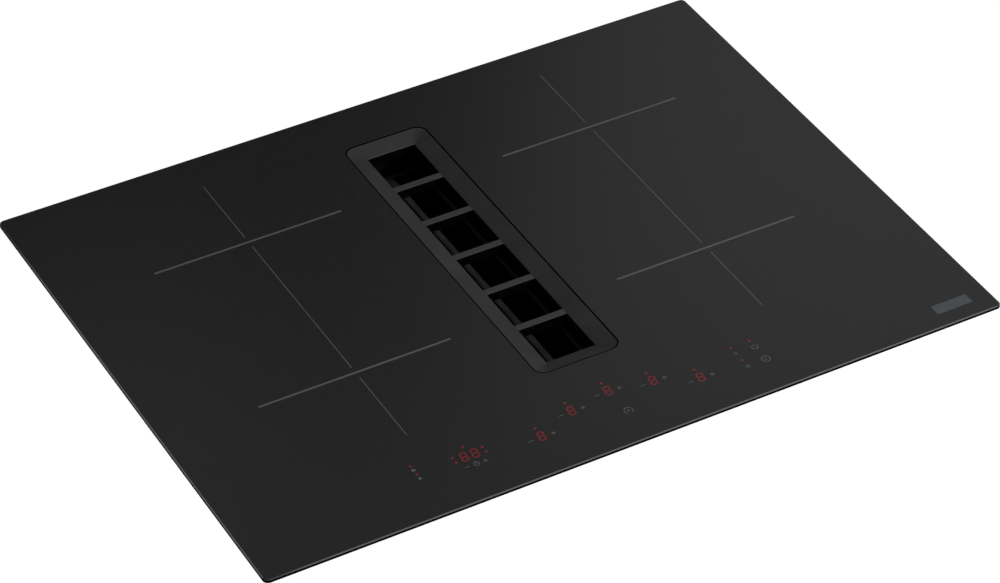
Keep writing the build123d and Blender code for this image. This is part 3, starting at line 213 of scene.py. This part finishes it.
# name, place, point it looks at, side of the square, radiance
soft_lamp("overhead", (0.0, 0.1, 2.6), (0.0, 0.0, 0.0), 1.8, 0.6)
soft_lamp("key_front", (1.3, -2.05, 1.06), (0.0, 0.0, 0.0), 0.6, 76.0)
soft_lamp("bevel_front", (0.875, -1.7, 1.55), (0.0, -0.26, 0.0), 1.0, 1.6)
soft_lamp("bevel_left", (-1.5, 1.45, 0.95), (-0.2, 0.1, 0.0), 0.9, 1.5)
soft_lamp("sweep_right", (1.4, 1.3, 1.35), (0.1, 0.0, 0.0), 1.1, 0.46)
soft_lamp("sweep_left", (0.12, 1.35, 1.4), (-0.3, -0.1, 0.0), 0.45, 0.43)
soft_lamp("sweep_front", (0.35, 0.95, 1.4), (-0.2, -0.3, 0.0), 0.5, 0.2)

# The floor is an opal light table: white by its own light, so the part casts no shadow on it.
FLOOR_Z = cad_box[0][2]
acrylic, tree, shader, place = blank_finish("light_table_acrylic", 0.9, colour="#3a3a3a")
shader.inputs["Emission Color"].default_value = linear("#ffffff")
shader.inputs["Emission Strength"].default_value = 1.0
bm = bmesh.new()
bmesh.ops.create_circle(bm, cap_ends=True, segments=64, radius=FLOOR_RADIUS,
                        matrix=Matrix.Translation((0, 0, FLOOR_Z)))
mesh_object("floor", bm, acrylic)
print("floor at", round(FLOOR_Z, 4))

# %% [markdown]
# Glass ceramic is black all through, cast flat and fire-polished. Its face is smooth but not a mirror:
# a fine orange-peel softens what it reflects. The upper edge is ground at 45 degrees and polished,
# so the material finds that bevel by the tilt of the surface and makes it sharper, and paler: that
# grey is partly the ground finish and partly a painted highlight.

# %% Glass ceramic
BEVEL_TILT = math.cos(math.radians(45))
BEVEL_ROUGHNESS = 0.07

glass, tree, shader, place = blank_finish("black_glass_ceramic", 0.3)
tilt = add_node(tree, "ShaderNodeTexCoord").outputs["Normal"]
upright = add_node(tree, "ShaderNodeSeparateXYZ", links={0: tilt}).outputs["Z"]
away = add_node(tree, "ShaderNodeMath", values={1: BEVEL_TILT}, links={0: upright},
                operation="SUBTRACT").outputs[0]
off_bevel = add_node(tree, "ShaderNodeMath", links={0: away}, operation="ABSOLUTE").outputs[0]
bevel = spread(tree, off_bevel, 1.0, 0.0, 0.1, 0.2)
peel = add_node(tree, "ShaderNodeTexNoise", values={"Scale": 260.0, "Detail": 3.0},
                links={"Vector": place})
body_colour = two_tones(tree, peel.outputs[0], "#0d0e0f", "#131415", 0.3, 0.7)
# the bevel's paler grey: partly the ground finish, partly a painted highlight
ground_tone_and_highlight = add_node(tree, "ShaderNodeMix", data_type="RGBA", values={7: linear("#303234")},
                  links={0: bevel, 6: body_colour})
tree.links.new(ground_tone_and_highlight.outputs[2], shader.inputs["Base Color"])
smooth = spread(tree, peel.outputs[0], 0.26, 0.34)
polish = add_node(tree, "ShaderNodeMix", data_type="FLOAT", values={3: BEVEL_ROUGHNESS},
                  links={0: bevel, 2: smooth})
tree.links.new(polish.outputs[0], shader.inputs["Roughness"])
shader.inputs["IOR"].default_value = 1.5
bump(tree, shader, peel.outputs[0], 0.00002, 0.35)

# %% [markdown]
# Moulded plastics carry the grain of their tool: tiny dimples a few tenths of a millimetre apart
# that break up the highlight. One function makes the family, from near-black covers to pale
# terminal blocks, with the grain drawn at half a millimetre.

# %% Moulded plastics and rubber
GRAIN_PER_M = 2000.0


def moulded(name, dark, light, roughness, grain=GRAIN_PER_M, depth=0.00003, gloss=0.5):
    """Injection-moulded plastic, rubber or foam: two close tones and an even grain."""
    material, tree, shader, place = blank_finish(name, roughness)
    shader.inputs["Specular IOR Level"].default_value = gloss
    noise = add_node(tree, "ShaderNodeTexNoise", values={"Scale": grain, "Detail": 2.0},
                     links={"Vector": place})
    cloud = add_node(tree, "ShaderNodeTexNoise", values={"Scale": 18.0, "Detail": 4.0},
                     links={"Vector": place})
    tree.links.new(two_tones(tree, cloud.outputs[0], dark, light, 0.3, 0.7), shader.inputs["Base Color"])
    tree.links.new(spread(tree, noise.outputs[0], roughness - 0.06, roughness + 0.06),
                   shader.inputs["Roughness"])
    bump(tree, shader, noise.outputs[0], depth)
    return material


# %% [markdown]
# Metals differ by how their surface was made. Rolled and extruded aluminium has long fine lines one
# way; ground steel has short ones; galvanised sheet shows crystals of zinc about a centimetre wide.

# %% Metals
LINE_STRETCH = 60                  # a line is this many times as long as it is wide


def lined_metal(name, dark, light, roughness, along, pitch_mm=0.5, depth=0.00001):
    """Rolled, extruded or brushed metal: fine lines that run along one axis."""
    material, tree, shader, place = blank_finish(name, roughness, metallic=1.0)
    across = 1 / (pitch_mm * MM)
    scale = [across, across, across]
    scale["XYZ".index(along)] = across / LINE_STRETCH
    stretch = add_node(tree, "ShaderNodeMapping", values={"Scale": scale}, links={"Vector": place})
    lines = add_node(tree, "ShaderNodeTexNoise", values={"Scale": 1.0, "Detail": 3.0},
                     links={"Vector": stretch.outputs[0]})
    tree.links.new(two_tones(tree, lines.outputs[0], dark, light, 0.25, 0.75),
                   shader.inputs["Base Color"])
    tree.links.new(spread(tree, lines.outputs[0], roughness - 0.08, roughness + 0.1),
                   shader.inputs["Roughness"])
    bump(tree, shader, lines.outputs[0], depth)
    return material


def zinc_sheet(name):
    """Hot-dip galvanised steel: crystals that each reflect a little differently."""
    material, tree, shader, place = blank_finish(name, 0.42, metallic=1.0)
    warp = add_node(tree, "ShaderNodeTexNoise", values={"Scale": 60.0, "Detail": 2.0},
                    links={"Vector": place})
    bent = add_node(tree, "ShaderNodeMix", data_type="VECTOR", values={0: 0.012},
                    links={4: place, 5: warp.outputs["Color"]})
    crystals = add_node(tree, "ShaderNodeTexVoronoi", values={"Scale": 95.0},
                        links={"Vector": bent.outputs[1]})
    shade = add_node(tree, "ShaderNodeSeparateColor", links={0: crystals.outputs["Color"]}).outputs[0]
    tree.links.new(two_tones(tree, shade, "#a9adb0", "#c3c7c9"), shader.inputs["Base Color"])
    tree.links.new(spread(tree, shade, 0.34, 0.5), shader.inputs["Roughness"])
    return material


def small_metal(name, code, roughness, grain=900.0):
    """Plated or turned small parts: plain metal with a faint mottling."""
    material, tree, shader, place = blank_finish(name, roughness, metallic=1.0)
    mottle = add_node(tree, "ShaderNodeTexNoise", values={"Scale": grain, "Detail": 2.0},
                      links={"Vector": place})
    tint = add_node(tree, "ShaderNodeMix", data_type="RGBA", blend_type="MULTIPLY",
                    values={0: 0.25, 6: linear(code)}, links={7: mottle.outputs["Color"]})
    tree.links.new(tint.outputs[2], shader.inputs["Base Color"])
    tree.links.new(spread(tree, mottle.outputs[0], roughness - 0.08, roughness + 0.08),
                   shader.inputs["Roughness"])
    return material


# %% [markdown]
# The grille and the filter are black castings. Level faces keep the casting's grey; upright walls
# and hollows get a near-black painted shade. Masks find them: the tilt of the surface leaves the walls
# out, and on the filter the height above the worktop leaves out all but the top of its spine, whose paler
# tone is a painted highlight. The flush bars' flat tops get a paler painted highlight.

# %% Black with painted shade
LEVEL_FACE = (0.3, 0.6)            # the upward part of a surface's normal
FLAT_TOP = (0.975, 0.995)
SPINE_TOP = (-0.0378, -0.0344)     # height on the filter where the painted highlight begins and is full
DULL_GLOSS = 0.02


def black_with_painted_shade(name, painted_shade, top_tones, roughness, painted_light_from=None, painted_top_light=None):
    """Grey tones on level faces and a near-black painted shade on upright ones; optionally grey only
    above a height, and a paler painted highlight on flat tops.
    """
    material, tree, shader, place = blank_finish(name, roughness)
    tilt = add_node(tree, "ShaderNodeTexCoord").outputs["Normal"]
    upward = add_node(tree, "ShaderNodeSeparateXYZ", links={0: tilt}).outputs["Z"]
    # upright faces get the near-black painted shade, level faces the grey tones
    unshaded = spread(tree, upward, 0.0, 1.0, *LEVEL_FACE)
    if painted_light_from:
        # on the filter all below the spine top is painted shade, and the top's paler tone is a painted
        # highlight
        height = add_node(tree, "ShaderNodeSeparateXYZ", links={0: place}).outputs["Z"]
        above = spread(tree, height, 0.0, 1.0, *painted_light_from)
        unshaded = add_node(tree, "ShaderNodeMath", links={0: unshaded, 1: above},
                        operation="MULTIPLY").outputs[0]
    grain = add_node(tree, "ShaderNodeTexNoise", values={"Scale": 2600.0, "Detail": 2.0},
                     links={"Vector": place})
    cloud = add_node(tree, "ShaderNodeTexNoise", values={"Scale": 25.0, "Detail": 3.0},
                     links={"Vector": place})
    face = two_tones(tree, cloud.outputs[0], top_tones[0], top_tones[1], 0.3, 0.7)
    if painted_top_light:
        # flat tops get a paler painted highlight
        flat = spread(tree, upward, 0.0, 1.0, *FLAT_TOP)
        face = add_node(tree, "ShaderNodeMix", data_type="RGBA", values={7: linear(painted_top_light)},
                        links={0: flat, 6: face}).outputs[2]
    both = add_node(tree, "ShaderNodeMix", data_type="RGBA", values={6: linear(painted_shade)},
                    links={0: unshaded, 7: face})
    tree.links.new(both.outputs[2], shader.inputs["Base Color"])
    shader.inputs["Specular IOR Level"].default_value = DULL_GLOSS
    tree.links.new(spread(tree, grain.outputs[0], roughness - 0.05, roughness + 0.05),
                   shader.inputs["Roughness"])
    bump(tree, shader, grain.outputs[0], 0.000015)
    return material


# %% [markdown]
# Inside the tray are materials that few people see: enamelled copper strand, mica laminate, sintered
# ferrite and the green lacquer of circuit boards with its copper tracks faintly raised.

# %% Electrical materials
def copper_strand(name, x, y):
    """Flat winding of enamelled strand: fine rings round the coil's own centre."""
    material, tree, shader, place = blank_finish(name, 0.35, metallic=1.0)
    centred = add_node(tree, "ShaderNodeMapping", values={"Location": (-x, -y, 0)},
                       links={"Vector": place})
    rings = add_node(tree, "ShaderNodeTexWave", wave_type="RINGS", rings_direction="Z",
                     values={"Scale": 110.0, "Distortion": 0.6, "Detail": 2.0},
                     links={"Vector": centred.outputs[0]})
    tree.links.new(two_tones(tree, rings.outputs[1], "#8a4a24", "#c98452"), shader.inputs["Base Color"])
    bump(tree, shader, rings.outputs[1], 0.0002, 0.6)
    return material


def circuit_board(name):
    """Fibreglass board under green solder mask, with tracks showing through."""
    material, tree, shader, place = blank_finish(name, 0.32)
    tracks = add_node(tree, "ShaderNodeTexBrick", offset=0.37,
                      values={"Scale": 1.0, "Mortar Size": 0.0007, "Brick Width": 0.021,
                              "Row Height": 0.0042, "Color1": linear("#0f4a2b"),
                              "Color2": linear("#145a35"), "Mortar": linear("#0a331f")},
                      links={"Vector": place})
    tree.links.new(tracks.outputs["Color"], shader.inputs["Base Color"])
    bump(tree, shader, tracks.outputs["Fac"], 0.00004)
    return material


def mica_laminate(name):
    """Pressed mica: pale gold flakes with a silky sheen."""
    material, tree, shader, place = blank_finish(name, 0.38)
    flakes = add_node(tree, "ShaderNodeTexVoronoi", values={"Scale": 420.0}, links={"Vector": place})
    shade = add_node(tree, "ShaderNodeSeparateColor", links={0: flakes.outputs["Color"]}).outputs[0]
    tree.links.new(two_tones(tree, shade, "#9a8a68", "#c9bb97"), shader.inputs["Base Color"])
    tree.links.new(spread(tree, shade, 0.28, 0.5), shader.inputs["Roughness"])
    return material


# %% [markdown]
# The record names one finish for each node. A table from those names to the materials above dresses
# all sixty nodes in one loop; only the windings need their own centre.

# %% Dress the nodes
finishes = {
    "black_glass": glass,
    "black_foam": moulded("closed_cell_foam", "#0b0b0c", "#141415", 0.85, 1400.0, 0.0001),
    # grille: upright walls in painted shade, flat bar tops with a painted highlight
    "grille_black": black_with_painted_shade("grille_painted_shade_and_highlight", "#020202", ("#303030", "#373737"), 0.5,
                             painted_top_light="#3d3d3d"),
    "black_rubber": moulded("black_rubber", "#0c0c0d", "#151516", 0.7),
    # filter: painted shade below the spine top, a painted highlight on it
    "filter_dark_steel": black_with_painted_shade("filter_painted_shade_and_highlight", "#010101", ("#4d4d4e", "#585859"), 0.4,
                                  painted_light_from=SPINE_TOP),
    # filter mesh: near-black painted shade, level faces barely paler
    "filter_mesh_steel": black_with_painted_shade("mesh_painted_shade", "#040404", ("#080808", "#0a0a0a"), 0.6),
    "pan_steel": lined_metal("pressed_steel", "#7c7e80", "#9a9c9e", 0.36, "Y"),
    "shaft_black": moulded("shaft_black_plastic", "#060607", "#0a0a0b", 0.62, gloss=0.03),
    "zinc_sheet": zinc_sheet("galvanised_sheet"),
    "ferrite": moulded("sintered_ferrite", "#232428", "#34353a", 0.6, 3000.0),
    "sensor_white": moulded("silicone_cap", "#cfc9bd", "#ddd8cc", 0.55),
    "support_plastic": moulded("glass_filled_plastic", "#a8977a", "#b8a88a", 0.5),
    "carrier_plastic": moulded("carrier_black_plastic", "#1b1b1d", "#242426", 0.5),
    "board_green": circuit_board("solder_mask"),
    "display_red": moulded("red_diffuser", "#4a0d12", "#5c1117", 0.3),
    "box_grey": moulded("grey_box_plastic", "#8b8e90", "#989b9d", 0.5),
    "terminal_white": moulded("terminal_plastic", "#cdcbc2", "#dad8cf", 0.45),
    "gland_black": moulded("gland_black_plastic", "#111113", "#19191b", 0.45),
    "scroll_grey": moulded("scroll_dark_plastic", "#333538", "#3e4043", 0.5),
    "wheel_grey": moulded("wheel_grey_plastic", "#56595c", "#626568", 0.45),
    "rotor_steel": small_metal("zinc_coated_bell", "#a2a5a8", 0.35),
    "shaft_steel": small_metal("ground_steel", "#b4b6b8", 0.22),
    "stator_copper": lined_metal("lamination_and_copper", "#7a5238", "#b07a4e", 0.4, "X", 0.8),
    "bearing_steel": small_metal("bearing_steel", "#c2c4c6", 0.18),
    "bracket_aluminium": small_metal("cast_aluminium", "#a9abad", 0.5, 1500.0),
    "tank_plastic": moulded("tank_grey_plastic", "#6d7073", "#797c7f", 0.42),
    "clamp_steel": small_metal("zinc_plated_steel", "#b0b2b0", 0.34),
    "screw_steel": small_metal("zinc_plated_screw", "#bcbdb6", 0.3),
    "mica": mica_laminate("mica_laminate"),
    "plate_aluminium": lined_metal("rolled_aluminium", "#a6a9ab", "#bfc2c4", 0.32, "Y"),
    "sink_aluminium": lined_metal("extruded_aluminium", "#9c9fa1", "#b9bcbe", 0.38, "Y", 0.7),
    "parts_dark": moulded("component_plastic", "#1f2022", "#2b2c2f", 0.4),
    "blower_black": moulded("blower_black_plastic", "#0f0f11", "#171719", 0.5),
}


windings = 0
for part in record["subparts"]:
    name, slot_name = part["node"], part["material_slot"]
    if slot_name == "winding_copper":
        low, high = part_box(name)
        finish = copper_strand("copper_strand_" + name.removeprefix("coil_winding_"),
                               (low[0] + high[0]) / 2, (low[1] + high[1]) / 2)
        windings += 1
    else:
        finish = finishes[slot_name]
    for slot in nodes[name].material_slots:
        slot.material = finish
print("dressed", len(record["subparts"]), "nodes in", len(finishes) + windings, "finishes")

# %% [markdown]
# The print on the glass is enamel, screened on and fired: a skin a few hundredths of a millimetre
# thick. Each mark is a flat shape from a grid or a spun edge, given that thickness and laid on the
# glass so that its foot reaches a little into it.

# %% Print helpers
PRINT_THICK = 0.03 * MM
PRINT_TOP = GLASS_Z + PRINT_THICK
PRINT_FOOT = PRINT_TOP - PRINT_THICK * 1.6
STEPS_PER_TURN = 36


def bar(bm, x, y, length, width, angle=0.0, lean=0.0):
    """A straight stroke about its centre, in millimetres; lean shears it like italic type."""
    shear = Matrix.Identity(4)
    shear[0][1] = lean
    shape = Matrix.Diagonal((length * MM, width * MM, 1, 1))
    place = Matrix.Translation((x * MM, y * MM, PRINT_TOP))
    bmesh.ops.create_grid(bm, x_segments=1, y_segments=1, size=0.5,
                          matrix=place @ shear @ Matrix.Rotation(math.radians(angle), 4, "Z") @ shape)


def arc_band(bm, x, y, radius, width, start=0.0, sweep=360.0):
    """A ring or part of one: a short edge spun about a centre."""
    a = math.radians(start)
    inner, outer = (radius - width / 2) * MM, (radius + width / 2) * MM
    centre = Vector((x * MM, y * MM, PRINT_TOP))
    way = Vector((math.cos(a), math.sin(a), 0))
    ends = [bm.verts.new(centre + way * reach) for reach in (inner, outer)]
    edge = bm.edges.new(ends)
    steps = max(3, round(STEPS_PER_TURN * sweep / 360))
    bmesh.ops.spin(bm, geom=ends + [edge], cent=centre, axis=(0, 0, 1), angle=math.radians(sweep),
                   steps=steps, use_merge=sweep == 360.0)


def spot(bm, x, y, radius):
    """A filled round dot."""
    bmesh.ops.create_circle(bm, cap_ends=True, segments=16, radius=radius * MM,
                            matrix=Matrix.Translation((x * MM, y * MM, PRINT_TOP)))


def patch(bm, points, x, y):
    """A filled outline of a few corners, about a centre."""
    corners = [bm.verts.new(((x + a) * MM, (y + b) * MM, PRINT_TOP)) for a, b in points]
    bm.faces.new(corners)


def extrude_to(bm, level):
    """Gives flat faces a body: a copy of them is moved to this height, with walls between the two."""
    made = bmesh.ops.extrude_face_region(bm, geom=list(bm.faces))
    for item in made["geom"]:
        if isinstance(item, bmesh.types.BMVert):
            item.co.z = level
    bmesh.ops.recalc_face_normals(bm, faces=bm.faces)


def lay_on_glass(name, bm, finish):
    """Makes a thin skin an object that rides on the hob."""
    piece = mesh_object(name, bm, finish)
    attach(piece, "hob")
    print(name, len(piece.data.polygons), "faces")


def finish_print(name, bm, finish):
    """Gives flat marks their thickness and lays them on the glass."""
    bmesh.ops.remove_doubles(bm, verts=bm.verts, dist=1e-7)
    extrude_to(bm, PRINT_FOOT)
    lay_on_glass(name, bm, finish)


# %% [markdown]
# Three close greys of enamel are used: one for the cooking zones, one for the symbols and a bluish one
# for the plain bar. Their edges are crisp and their surface is duller than the glass.

# %% Enamels and lamps
def enamel(name, dark, light):
    """Fired screen print: matt, with the faint mesh of the screen in it."""
    material, tree, shader, place = blank_finish(name, 0.5)
    screen = add_node(tree, "ShaderNodeTexNoise", values={"Scale": 3500.0, "Detail": 1.0},
                      links={"Vector": place})
    tree.links.new(two_tones(tree, screen.outputs[0], dark, light, 0.3, 0.7), shader.inputs["Base Color"])
    return material


def glow(name, dim, core):
    """Lit segment behind the glass: red light that the black glass has dimmed."""
    material, tree, shader, place = blank_finish(name, 0.3, colour="#220404")
    cells = add_node(tree, "ShaderNodeTexNoise", values={"Scale": 900.0, "Detail": 1.0},
                     links={"Vector": place})
    lit = two_tones(tree, cells.outputs[0], dim, core, 0.3, 0.7)
    tree.links.new(lit, shader.inputs["Emission Color"])
    shader.inputs["Emission Strength"].default_value = 1.0
    return material


plate_enamel = enamel("plate_enamel", "#3a3e41", "#44484b")
zone_enamel = enamel("zone_enamel", "#484a4c", "#525456")
symbol_enamel = enamel("symbol_enamel", "#4f5253", "#5a5d5e")
digit_glow = glow("digit_glow", "#600b0e", "#6e0f14")
lamp_glow = glow("lamp_glow", "#5d0f14", "#6a1419")

# %% [markdown]
# Each cooking side has two zones. A thick bar marks where a pan's centre goes, and a thin line runs
# from front to back through both, broken where it meets the bars.

# %% Zone marks
# places and sizes on the glass are in millimetres from its centre
ZONE_XS = (-171.6, 171.1)
ZONE_YS = (-71.5, 128.1)
BAR_LENGTH = 180.0
BAR_WIDTH = 2.2
LINE_WIDTH = 0.8
LINE_FRONT = -161.5
LINE_BACK = 218.0
LINE_GAP = 7.0

bm = bmesh.new()
for x in ZONE_XS:
    stops = [LINE_FRONT]
    for y in ZONE_YS:
        bar(bm, x, y, BAR_LENGTH, BAR_WIDTH)
        stops += [y - LINE_GAP, y + LINE_GAP]
    stops.append(LINE_BACK)
    for low, high in zip(stops[::2], stops[1::2]):
        bar(bm, x, (low + high) / 2, LINE_WIDTH, high - low)
finish_print("zone_marks", bm, zone_enamel)

# %% [markdown]
# The digits are seven-segment figures that lean a little, each with a point at its lower right.
# Every segment is a flat hexagon, so the seven meet in the thin dark mitres of a real display.

# %% Digits
DIGIT_HALF = 2.6                   # half the width between the upright segments
DIGIT_RISE = 5.0                   # centre to top segment
SEGMENT = 1.25
MITRE_GAP = 0.25
DIGIT_LEAN = 0.12
POINT_REACH = 1.4                  # from the upright segment to the decimal point
POINT_R = 0.45
DIGIT_PLACES = [(-76.3, -216.1), (-39.3, -200.4), (-0.3, -193.4), (39.0, -200.4), (76.0, -216.1)]
TIMER_X = -138.8
TIMER_Y = -207.6
TIMER_PLACES = [(TIMER_X - 5.0, TIMER_Y), (TIMER_X + 5.0, TIMER_Y)]


def segment(bm, x, y, from_point, to_point):
    """One hexagonal segment between two nodes of the figure, leaning with it."""
    start, end = Vector(from_point), Vector(to_point)
    way = (end - start).normalized()
    side = Vector((-way.y, way.x)) * SEGMENT / 2
    start += way * MITRE_GAP
    end -= way * MITRE_GAP
    tip = way * SEGMENT / 2
    outline = [start, start + tip + side, end - tip + side, end, end - tip - side, start + tip - side]
    patch(bm, [(p.x + p.y * DIGIT_LEAN, p.y) for p in outline], x, y)


def figure_eight(bm, x, y):
    w, h = DIGIT_HALF, DIGIT_RISE
    for level in (-h, 0, h):
        segment(bm, x, y, (-w, level), (w, level))
    for side in (-w, w):
        segment(bm, x, y, (side, -h), (side, 0))
        segment(bm, x, y, (side, 0), (side, h))
    spot(bm, x + w + POINT_REACH - h * DIGIT_LEAN, y - h, POINT_R)


bm = bmesh.new()
for x, y in DIGIT_PLACES + TIMER_PLACES:
    figure_eight(bm, x, y)
finish_print("lit_digits", bm, digit_glow)

LAMP_RISE = 10.7                   # lamp above its digit
LAMP_R = 1.25
LEFT_X = -187.3                    # column of pictograms at the far left
INNER_X, OUTER_X = 117.5, 136.0    # two columns of signs at the right
lamps = [(x, y + LAMP_RISE) for x, y in DIGIT_PLACES]
lamps += [(TIMER_X, -196.6), (LEFT_X, -196.6), (LEFT_X, -207.6)]
lamps += [(TIMER_X + side * 14.0, y) for side in (-1, 1) for y in (-204.1, -210.6)]
lamps += [(INNER_X, -196.4), (OUTER_X, -196.4), (INNER_X, -214.4)]
bm = bmesh.new()
for x, y in lamps:
    spot(bm, x, y, LAMP_R)
finish_print("lit_lamps", bm, lamp_glow)

# %% [markdown]
# The touch symbols are generic: plus and minus, a clock, a padlock, a pause sign, a standby sign, two
# rings and two plain pictograms. Strokes are about six tenths of a millimetre wide.

# %% Touch symbols
STROKE = 0.62
FINE_STROKE = STROKE * 0.8
SIGN_SIDE = 10.4                   # minus and plus on each side of a digit
SIGN_DROP = 1.4
SIGN_SIZE = 4.4
TIMER_SIGN_Y = -219.6
AIR_RING = (2.0, -223.1)


def minus(bm, x, y):
    bar(bm, x, y, SIGN_SIZE, STROKE)


def plus(bm, x, y):
    """A cross of three strokes that don't overlap."""
    bar(bm, x, y, SIGN_SIZE, STROKE)
    for side in (-1, 1):
        reach = (SIGN_SIZE - STROKE) / 2
        bar(bm, x, y + side * (STROKE + reach) / 2, STROKE, reach)


bm = bmesh.new()
for x, y in DIGIT_PLACES:
    minus(bm, x - SIGN_SIDE, y - SIGN_DROP)
    plus(bm, x + SIGN_SIDE, y - SIGN_DROP)
minus(bm, TIMER_X - 8.5, TIMER_SIGN_Y)
plus(bm, TIMER_X + 8.2, TIMER_SIGN_Y)
# clock
arc_band(bm, TIMER_X, TIMER_SIGN_Y, 2.4, STROKE)
bar(bm, TIMER_X, TIMER_SIGN_Y + 0.75, FINE_STROKE, 1.5)
bar(bm, TIMER_X + 0.75, TIMER_SIGN_Y + 0.1, 1.1, FINE_STROKE)
# automatic air: an open ring with a dot
arc_band(bm, *AIR_RING, 3.7, STROKE, 300.0, 300.0)
spot(bm, *AIR_RING, 0.9)
# pause
for side in (-0.9, 0.9):
    bar(bm, INNER_X + side, -204.6, STROKE, 3.2)
# standby: an open ring and a stem
arc_band(bm, OUTER_X, -204.8, 2.7, STROKE, 140.0, 260.0)
bar(bm, OUTER_X, -203.2, STROKE, 3.0)
# padlock: a frame of four strokes and a shackle
for side in (-1, 1):
    bar(bm, INNER_X + side * 1.5, -223.9, FINE_STROKE, 1.6)
    bar(bm, INNER_X, -223.9 + side * 1.05, 3.5, FINE_STROKE)
arc_band(bm, INNER_X, -222.5, 1.0, FINE_STROKE, 0.0, 180.0)
# lock of the whole panel: a ring and a stroke
arc_band(bm, OUTER_X, -222.4, 3.65, STROKE)
bar(bm, OUTER_X, -222.4, STROKE, 3.4)
# two pictograms at the far left: pan and filter
patch(bm, [(-1.8, -1.4), (1.8, -1.4), (1.8, 0.6), (-1.8, 0.6)], LEFT_X, -201.9)
bar(bm, LEFT_X, -200.4, 2.6, STROKE)
patch(bm, [(-1.9, -1.6), (1.9, -1.6), (0.6, 0.4), (0.6, 1.5), (-0.6, 1.5), (-0.6, 0.4)], LEFT_X, -212.7)
finish_print("touch_symbols", bm, symbol_enamel)

# %% [markdown]
# At the front right, near the corner, the glass has one plain bar of bluish enamel.

# %% Plain printed bar
bm = bmesh.new()
bar(bm, 312.4, -238.8, 35.5, 11.5)
finish_print("plain_print", bm, plate_enamel)

# %% [markdown]
# Below the polished bevel the glass's sides, outside and round the air opening, carry a near-black
# skin with no gloss: painted shade that keeps them dark. Each skin is a narrow flat frame, a rounded
# outline inset by the skin's thickness, that is raised to the height of the side.

# %% Edge shade skin
SHADE_SKIN = 0.04 * MM
BEVEL = 0.85 * MM
ARRIS = 0.7 * MM
GLASS_CORNER = 5.0 * MM
OPENING = (82.0 * MM, 355.0 * MM)
OPENING_Y = 28.0 * MM
OPENING_CORNER = 11.0 * MM


def side_skin(bm, width, depth, middle_y, corner, low, high):
    """A thin upright skin whose outer face has this outline."""
    half = Matrix.Diagonal((width / 2, depth / 2, 1, 1))
    made = bmesh.ops.create_grid(bm, x_segments=1, y_segments=1, size=1.0,
                                 matrix=Matrix.Translation((0, middle_y, low)) @ half)
    bmesh.ops.bevel(bm, geom=made["verts"], offset=corner, segments=8, profile=0.5,
                    affect="VERTICES", material=-1)
    sheet = list(bm.faces)
    bmesh.ops.inset_region(bm, faces=sheet, thickness=SHADE_SKIN, use_even_offset=True, use_boundary=True)
    bmesh.ops.delete(bm, geom=sheet, context="FACES")
    extrude_to(bm, high)


# a near-black skin with no gloss: painted shade on the glass's sides
shade_skin, tree, shader, place = blank_finish("edge_painted_shade", 0.3)
fleck = add_node(tree, "ShaderNodeTexNoise", values={"Scale": 1200.0, "Detail": 2.0},
                 links={"Vector": place})
tree.links.new(two_tones(tree, fleck.outputs[0], "#020202", "#040404"), shader.inputs["Base Color"])
shader.inputs["Specular IOR Level"].default_value = 0.0
outer = [side + 2 * SHADE_SKIN for side in (glass_high.x - glass_low.x, glass_high.y - glass_low.y)]
sides = [("edge_lacquer", *outer, 0.0, GLASS_CORNER, glass_low.z + ARRIS, glass_high.z - BEVEL),
         ("opening_lacquer", *OPENING, OPENING_Y, OPENING_CORNER, glass_low.z, glass_high.z)]
for name, *shape in sides:
    bm = bmesh.new()
    side_skin(bm, *shape)
    lay_on_glass(name, bm, shade_skin)
